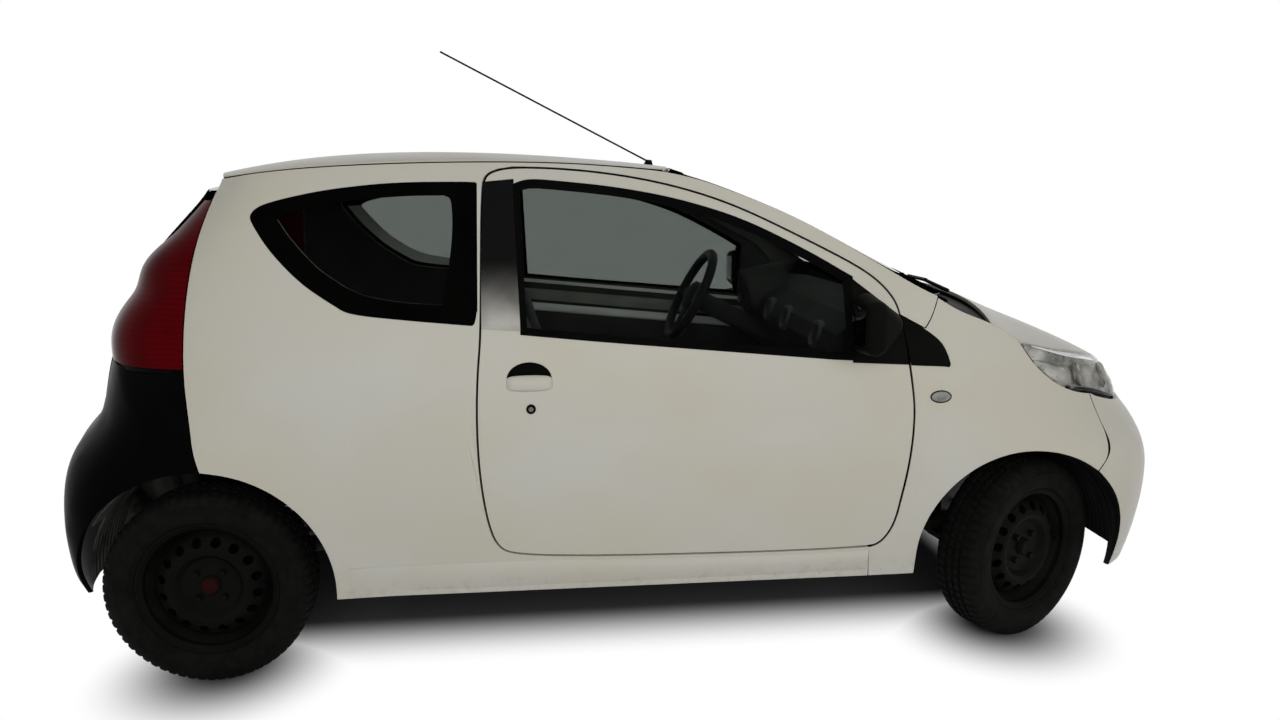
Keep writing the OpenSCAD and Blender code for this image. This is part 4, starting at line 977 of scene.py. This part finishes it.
for side in SIDES:
    headlamp_optics(side)
    lamp_gaskets(side)
    arch_return("arch_return", side, FRONT_X, ARCH_F + 1, 26, 722, -13, 172)
    arch_return("rear_arch_return", side, REAR_X, ARCH_R, 0, 727, 2, 92)
    mirror_glass(side)
    door_trim(side)
    pillar_trim(side)
dash_details()
steering_grip()


# Seats

CLOTH_FRAMES, CLOTH_PRESSURE = 20, 4
SEAM_WIDTH, SEAM_DEPTH = 0.011, 0.009
PAD_INSET, PAD_SIDE_INSET = 9, 10


def prism(shape, y0, y1):
    """Points in metres and faces of a side outline in millimetres, drawn across the car."""
    n = len(shape)
    verts = [(x / 1000, y / 1000, z / 1000) for y in (y0, y1) for x, z in shape]
    faces = [tuple(range(n)), tuple(range(2 * n - 1, n - 1, -1))]
    faces += [(i, i + n, (i + 1) % n + n, (i + 1) % n) for i in range(n)]
    return verts, faces


def fresh_mesh(obj):
    """The object's mesh with its modifiers applied."""
    graph_now = bpy.context.evaluated_depsgraph_get()
    return bpy.data.meshes.new_from_object(obj.evaluated_get(graph_now))


def swap_mesh(obj, mesh):
    obj.modifiers.clear()
    obj.data = mesh


def swell(obj, cap):
    """Blows the pad up as cloth over foam, no point further than cap."""
    start = [v.co.copy() for v in obj.data.vertices]
    cloth = obj.modifiers.new("cloth", "CLOTH")
    cloth.settings.use_pressure = True
    cloth.settings.uniform_pressure_force = CLOTH_PRESSURE
    cloth.settings.effector_weights.gravity = 0
    cloth.point_cache.frame_end = CLOTH_FRAMES
    for frame_now in range(1, CLOTH_FRAMES + 1):
        bpy.context.scene.frame_set(frame_now)
    mesh = fresh_mesh(obj)
    for v, was in zip(mesh.vertices, start):
        move = v.co - was
        if move.length > cap:
            v.co = was + move.normalized() * cap
    swap_mesh(obj, mesh)
    bpy.context.scene.frame_set(1)


def sew(mesh, seams, axis):
    """Presses sewn channels into the side that looks along axis, at distances from the pad's middle."""
    mid = sum(v.co.y for v in mesh.vertices) / len(mesh.vertices)
    for v in mesh.vertices:
        facing_out = max(v.normal.dot(axis), 0)
        for seam in seams:
            near = (abs(v.co.y - mid) - seam) / SEAM_WIDTH
            v.co -= axis * (SEAM_DEPTH * facing_out * exp(-near * near))


def pad(name, node, shape, y0, width, voxel, cap, seams, axis):
    """A padded piece from its side outline: remeshed, swollen and sewn."""
    inset = offset(shape, [-PAD_INSET] * len(shape))
    half = width / 2 - PAD_SIDE_INSET
    verts, faces = prism(inset, y0 - half, y0 + half)
    mesh = bpy.data.meshes.new(name)
    mesh.from_pydata(verts, [], faces)
    obj = add_object(name, mesh)
    remesh = obj.modifiers.new("voxels", "REMESH")
    remesh.mode = "VOXEL"
    remesh.voxel_size = voxel
    swap_mesh(obj, fresh_mesh(obj))
    swell(obj, cap)
    sew(obj.data, seams, Vector(axis).normalized())
    return finish_pad(obj, node)


def finish_pad(obj, node):
    give(obj, CLOTH)
    obj.data.shade_smooth()
    add_rounding(obj, 1)
    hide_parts(node)
    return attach(obj, "chassis")


def other_side(obj, name, node):
    """The same pad for the right-hand seat."""
    mesh = obj.data.copy()
    for v in mesh.vertices:
        v.co.y = -v.co.y
    mesh.flip_normals()
    return finish_pad(add_object(name, mesh), node)


SEAT_PADS = {
    "seat_cushion": ([(223, 424), (237, 470), (227, 505), (190, 528), (85, 524), (-105, 496), (-235, 484), (-253, 430),
                      (-215, 400), (180, 400)], 480, 0.0145, 0.012, (0.145,), (0, 0, 1)),
    "seat_back": ([(-190, 505), (-245, 488), (-305, 505), (-385, 690), (-470, 935), (-457, 962), (-405, 964),
                   (-379, 935), (-297, 690)], 450, 0.0145, 0.012, (0.135,), (1, 0, 0.4)),
    "headrest": ([(-415, 968), (-445, 966), (-491, 1004), (-513, 1110), (-501, 1160), (-465, 1170), (-429, 1150),
                  (-407, 1030)], 269, 0.0115, 0.01, (), (1, 0, 0.2)),
}
for name, (shape, width, voxel, cap, seams, axis) in SEAT_PADS.items():
    left = pad(name + "_left", "front_seats", shape, SEAT_Y, width, voxel, cap, seams, axis)
    other_side(left, name + "_right", "front_seats")
REAR_PADS = {
    "rear_cushion": ([(-465, 412), (-465, 470), (-485, 500), (-765, 480), (-765, 412)], (0, 0, 1)),
    "rear_backrest": ([(-765, 490), (-855, 900), (-905, 915), (-945, 900), (-825, 490)], (1, 0, 0.3)),
}
for name, (shape, axis) in REAR_PADS.items():
    pad(name, "rear_seat", shape, 0, 1100, 0.02, 0.012, (0.02, 0.27), axis)


def seat_base(side):
    """Rails with risers under a front seat, and the headrest's posts."""
    middle = SIDES[side] * SEAT_Y
    rail = [(-195, 226), (-195, 240), (-180, 250), (-170, 330), (-176, 396), (-150, 404), (-130, 396), (-138, 330),
            (-122, 252), (92, 252), (108, 330), (100, 396), (120, 404), (146, 396), (140, 330), (150, 250), (165, 240),
            (165, 226)]
    rails = joined([prism(rail, middle + y0, middle + y1) for y0, y1 in ((-178, -150), (150, 178))])
    piece("seat_rails_" + side, *rails, "axle_iron", IRON)
    post = [(0.5, -40), (6, -40), (6, 44), (0.5, 46)]
    for k, y in enumerate((-60, 60)):
        piece(f"headrest_post_{k}_{side}", *lathe(post, 16), "steel", CHROME,
              matrix=facing((-432, middle + y, 964), (-0.25, 0, 1)))


for side in SIDES:
    seat_base(side)


# Wheels

def wheel_matrix(corner):
    """From a wheel lying flat, outboard up, to its place in the car."""
    sign = SIDES[corner.split("_")[1]]
    mirror = Matrix.Scale(sign, 4, (0, 1, 0))
    upright = Matrix.Rotation(radians(-90), 4, "X")
    if corner.startswith("front"):
        return (Matrix.Translation((FRONT_X / 1000, sign * PIVOT_Y / 1000, TYRE_R / 1000))
                @ Matrix.Rotation(radians(STEER_REST), 4, "Z") @ mirror
                @ Matrix.Translation((0, PIVOT_IN / 1000, 0)) @ upright)
    return Matrix.Translation((REAR_X / 1000, sign * TRACK_R / 2000, TYRE_R / 1000)) @ mirror @ upright


TYRE_SIDE = [(178, 40), (178, 58), (190.5, 58), (191.5, 64.5), (196, 69), (203, 72.8), (205, 74.4), (209, 74.6),
             (211, 74.6), (218, 76.3), (232, 77.3), (238, 76.8), (239, 77.4), (241, 77.4), (242, 76.2), (250, 74),
             (258, 71), (264, 67.5), (268, 64.5), (272.5, 59), (275, 53), (277, 45.5), (277.6, 38), (277.8, 30),
             (271, 29), (271, 20), (277.9, 19), (277.9, 12), (277.9, 5), (271, 4)]
BLOCKS, GROOVE = 64, 5
BOLT_CIRCLE, VALVE_AT = 0.05, (0.146, 0, -0.022)


def tyre(corner):
    profile = TYRE_SIDE + [(r, -z) for r, z in reversed(TYRE_SIDE)]

    def tread(k, i, r):
        """Cross grooves in the shoulders, and between them in the middle ribs."""
        z, phase = abs(profile[k][1]), i % 4
        shoulder = 30 <= z <= 68 and r > 262 and phase == 0
        middle = z < 20 and r > 275 and phase == 2
        return r - GROOVE if shoulder or middle else r

    obj = piece("tyre_tread_" + corner, *lathe(profile, BLOCKS * 4, tread), "tyre", RUBBER, "wheel_" + corner, sharp=30,
                matrix=wheel_matrix(corner))
    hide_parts("tyre_" + corner)


def wheel_fittings(corner):
    """Hub cap, four bolts and the valve."""
    m = wheel_matrix(corner)
    body = "wheel_" + corner
    cap = [(0, 38), (23, 38), (23, 43), (21, 45.5), (15, 47), (14, 46), (0, 46)]
    cap_finish = RIM if corner.startswith("front") else RUST
    piece("hub_cap_" + corner, *lathe(cap, 32), "axle_iron", cap_finish, body, matrix=m)
    head = [(0, 20), (12, 20), (12, 33), (9.5, 33), (9.5, 42), (8, 44.5), (0, 44.5)]
    angles = [radians(45 + 90 * q) for q in range(4)]
    bolts = [moved(lathe(head, 6), BOLT_CIRCLE * cos(a), BOLT_CIRCLE * sin(a), 0) for a in angles]
    piece("wheel_bolts_" + corner, *joined(bolts), "wheel_steel", RIM, body, matrix=m)
    stem = [(0, 40), (5, 40), (5, 52), (3.5, 54), (3.5, 66), (4.6, 67), (4.6, 76), (0, 76)]
    piece("valve_" + corner, *moved(lathe(stem, 12), *VALVE_AT), "black_plastic", PLASTIC, body, matrix=m)


def brake_shield(corner):
    """Pressed plate behind the wheel disc, which stays still when the wheel turns."""
    inner = 40 if corner.startswith("front") else 92
    plate = [(inner, -30.5), (inner, -27), (144, -27), (147, -24), (147, 8), (150, 8), (150, -27), (146.5, -30.5)]
    body = "knuckle_" + corner.split("_")[1] if corner.startswith("front") else "chassis"
    piece("brake_shield_" + corner, *lathe(plate, 64), "axle_iron", UNDER, body, matrix=wheel_matrix(corner))


for corner in CORNERS:
    tyre(corner)
    wheel_fittings(corner)
    brake_shield(corner)


# Studio and camera

SEEN = ("Is Camera Ray", "Is Glossy Ray", "Is Transmission Ray")
WORLD_LIGHT, LIGHT_ABOVE = 0.38, 0.3
# SHADOW_TONE is the floor's painted shadow under the car and at its wheels, fading to white over SHADOW_FADE.
FLOOR_REACH, FLOOR_TONE, SHADOW_TONE, SHADOW_FADE = 60, 0.6, 0.085, 0.33


def seen_directly(owner):
    """1 for camera, glossy and transmission rays."""
    path = add_node(owner, "ShaderNodeLightPath")
    total = path.outputs[SEEN[0]]
    for name in SEEN[1:]:
        total = maths(owner, "MAXIMUM", total, path.outputs[name])
    return total


def beside_car(mat):
    """0 under the car and at its wheels, and 1 where the floor is in the clear."""
    def vector(operation, a, b=(0, 0, 0)):
        node = add_node(mat, "ShaderNodeVectorMath", {0: a, 1: b}, operation=operation)
        return node.outputs["Value" if operation == "LENGTH" else "Vector"]

    coords = add_node(mat, "ShaderNodeTexCoord")
    plan = vector("ABSOLUTE", vector("ADD", coords.outputs["Object"], (0.075, 0, 0)))
    body = vector("LENGTH", vector("MAXIMUM", vector("SUBTRACT", plan, (1.2, 0.42, 0))))
    wheel = maths(mat, "SUBTRACT", vector("LENGTH", vector("SUBTRACT", plan, (1.17, 0.68, 0))), 0.06)
    return remap(mat, maths(mat, "MINIMUM", body, wheel), 0, SHADOW_FADE, interpolation_type="SMOOTHSTEP")


def white_floor():
    """Floor that looks white beside the car and is painted dark under it as shadow, where it also takes the car's own
    shadow.
    """
    mesh = bpy.data.meshes.new("floor")
    corners = [(x * FLOOR_REACH, y * FLOOR_REACH, 0) for x, y in ((-1, -1), (1, -1), (1, 1), (-1, 1))]
    mesh.from_pydata(corners, [], [(0, 1, 2, 3)])
    floor = add_object("floor", mesh)
    mat = bpy.data.materials.new("floor_white")
    mat.use_nodes = True
    mat.node_tree.nodes.remove(shader_of(mat))
    plain, shadow = [add_node(mat, "ShaderNodeBsdfDiffuse", {"Color": (tone, tone, tone, 1)})
                     for tone in (FLOOR_TONE, SHADOW_TONE)]
    seen = mix_shaders(mat, beside_car(mat), shadow, add_node(mat, "ShaderNodeEmission"))
    set_surface(mat, "Material Output", mix_shaders(mat, seen_directly(mat), plain, seen))
    give(floor, mat)


def white_world():
    """Surroundings that look white, and light the car less from above."""
    world = bpy.data.worlds.new("studio")
    bpy.context.scene.world = world
    world.use_nodes = True
    coords = add_node(world, "ShaderNodeTexCoord")
    way = add_node(world, "ShaderNodeSeparateXYZ", {0: coords.outputs["Generated"]})
    strength = remap(world, way.outputs["Z"], 0, 1, WORLD_LIGHT, LIGHT_ABOVE * WORLD_LIGHT)
    light = world.node_tree.nodes["Background"]
    set_inputs(world, light, {"Color": (1, 1, 1, 1), "Strength": strength})
    seen = add_node(world, "ShaderNodeBackground", {"Color": (1, 1, 1, 1)})
    set_surface(world, "World Output", mix_shaders(world, seen_directly(world), light, seen))


def softbox(name, at, aim, size, power):
    lamp = bpy.data.lights.new(name, "AREA")
    lamp.shape = "RECTANGLE"
    lamp.size, lamp.size_y = size
    lamp.energy = power
    obj = add_object(name, lamp)
    obj.location = at
    obj.rotation_euler = (Vector(aim) - Vector(at)).to_track_quat("-Z", "Y").to_euler()
    obj.visible_glossy = False


def photo_camera():
    camera = bpy.data.cameras.new("photo_camera")
    camera.sensor_width = 36
    camera.lens = FOCAL_PIXELS / PHOTO_WIDTH * camera.sensor_width
    obj = add_object("photo_camera", camera)
    obj.location = CAMERA_AT
    obj.rotation_euler = (radians(90 + CAMERA_PITCH), 0, radians(-CAMERA_YAW))
    bpy.context.scene.camera = obj


white_floor()
white_world()
softbox("key", (0.5, -5.8, 2.7), (0.1, 0, 0.6), (6, 2.5), 243)
softbox("top", (0, 0.5, 6), (0, 0, 0), (7, 5), 10)
photo_camera()
bpy.context.scene.view_settings.view_transform = "Standard"

bpy.context.view_layer.update()
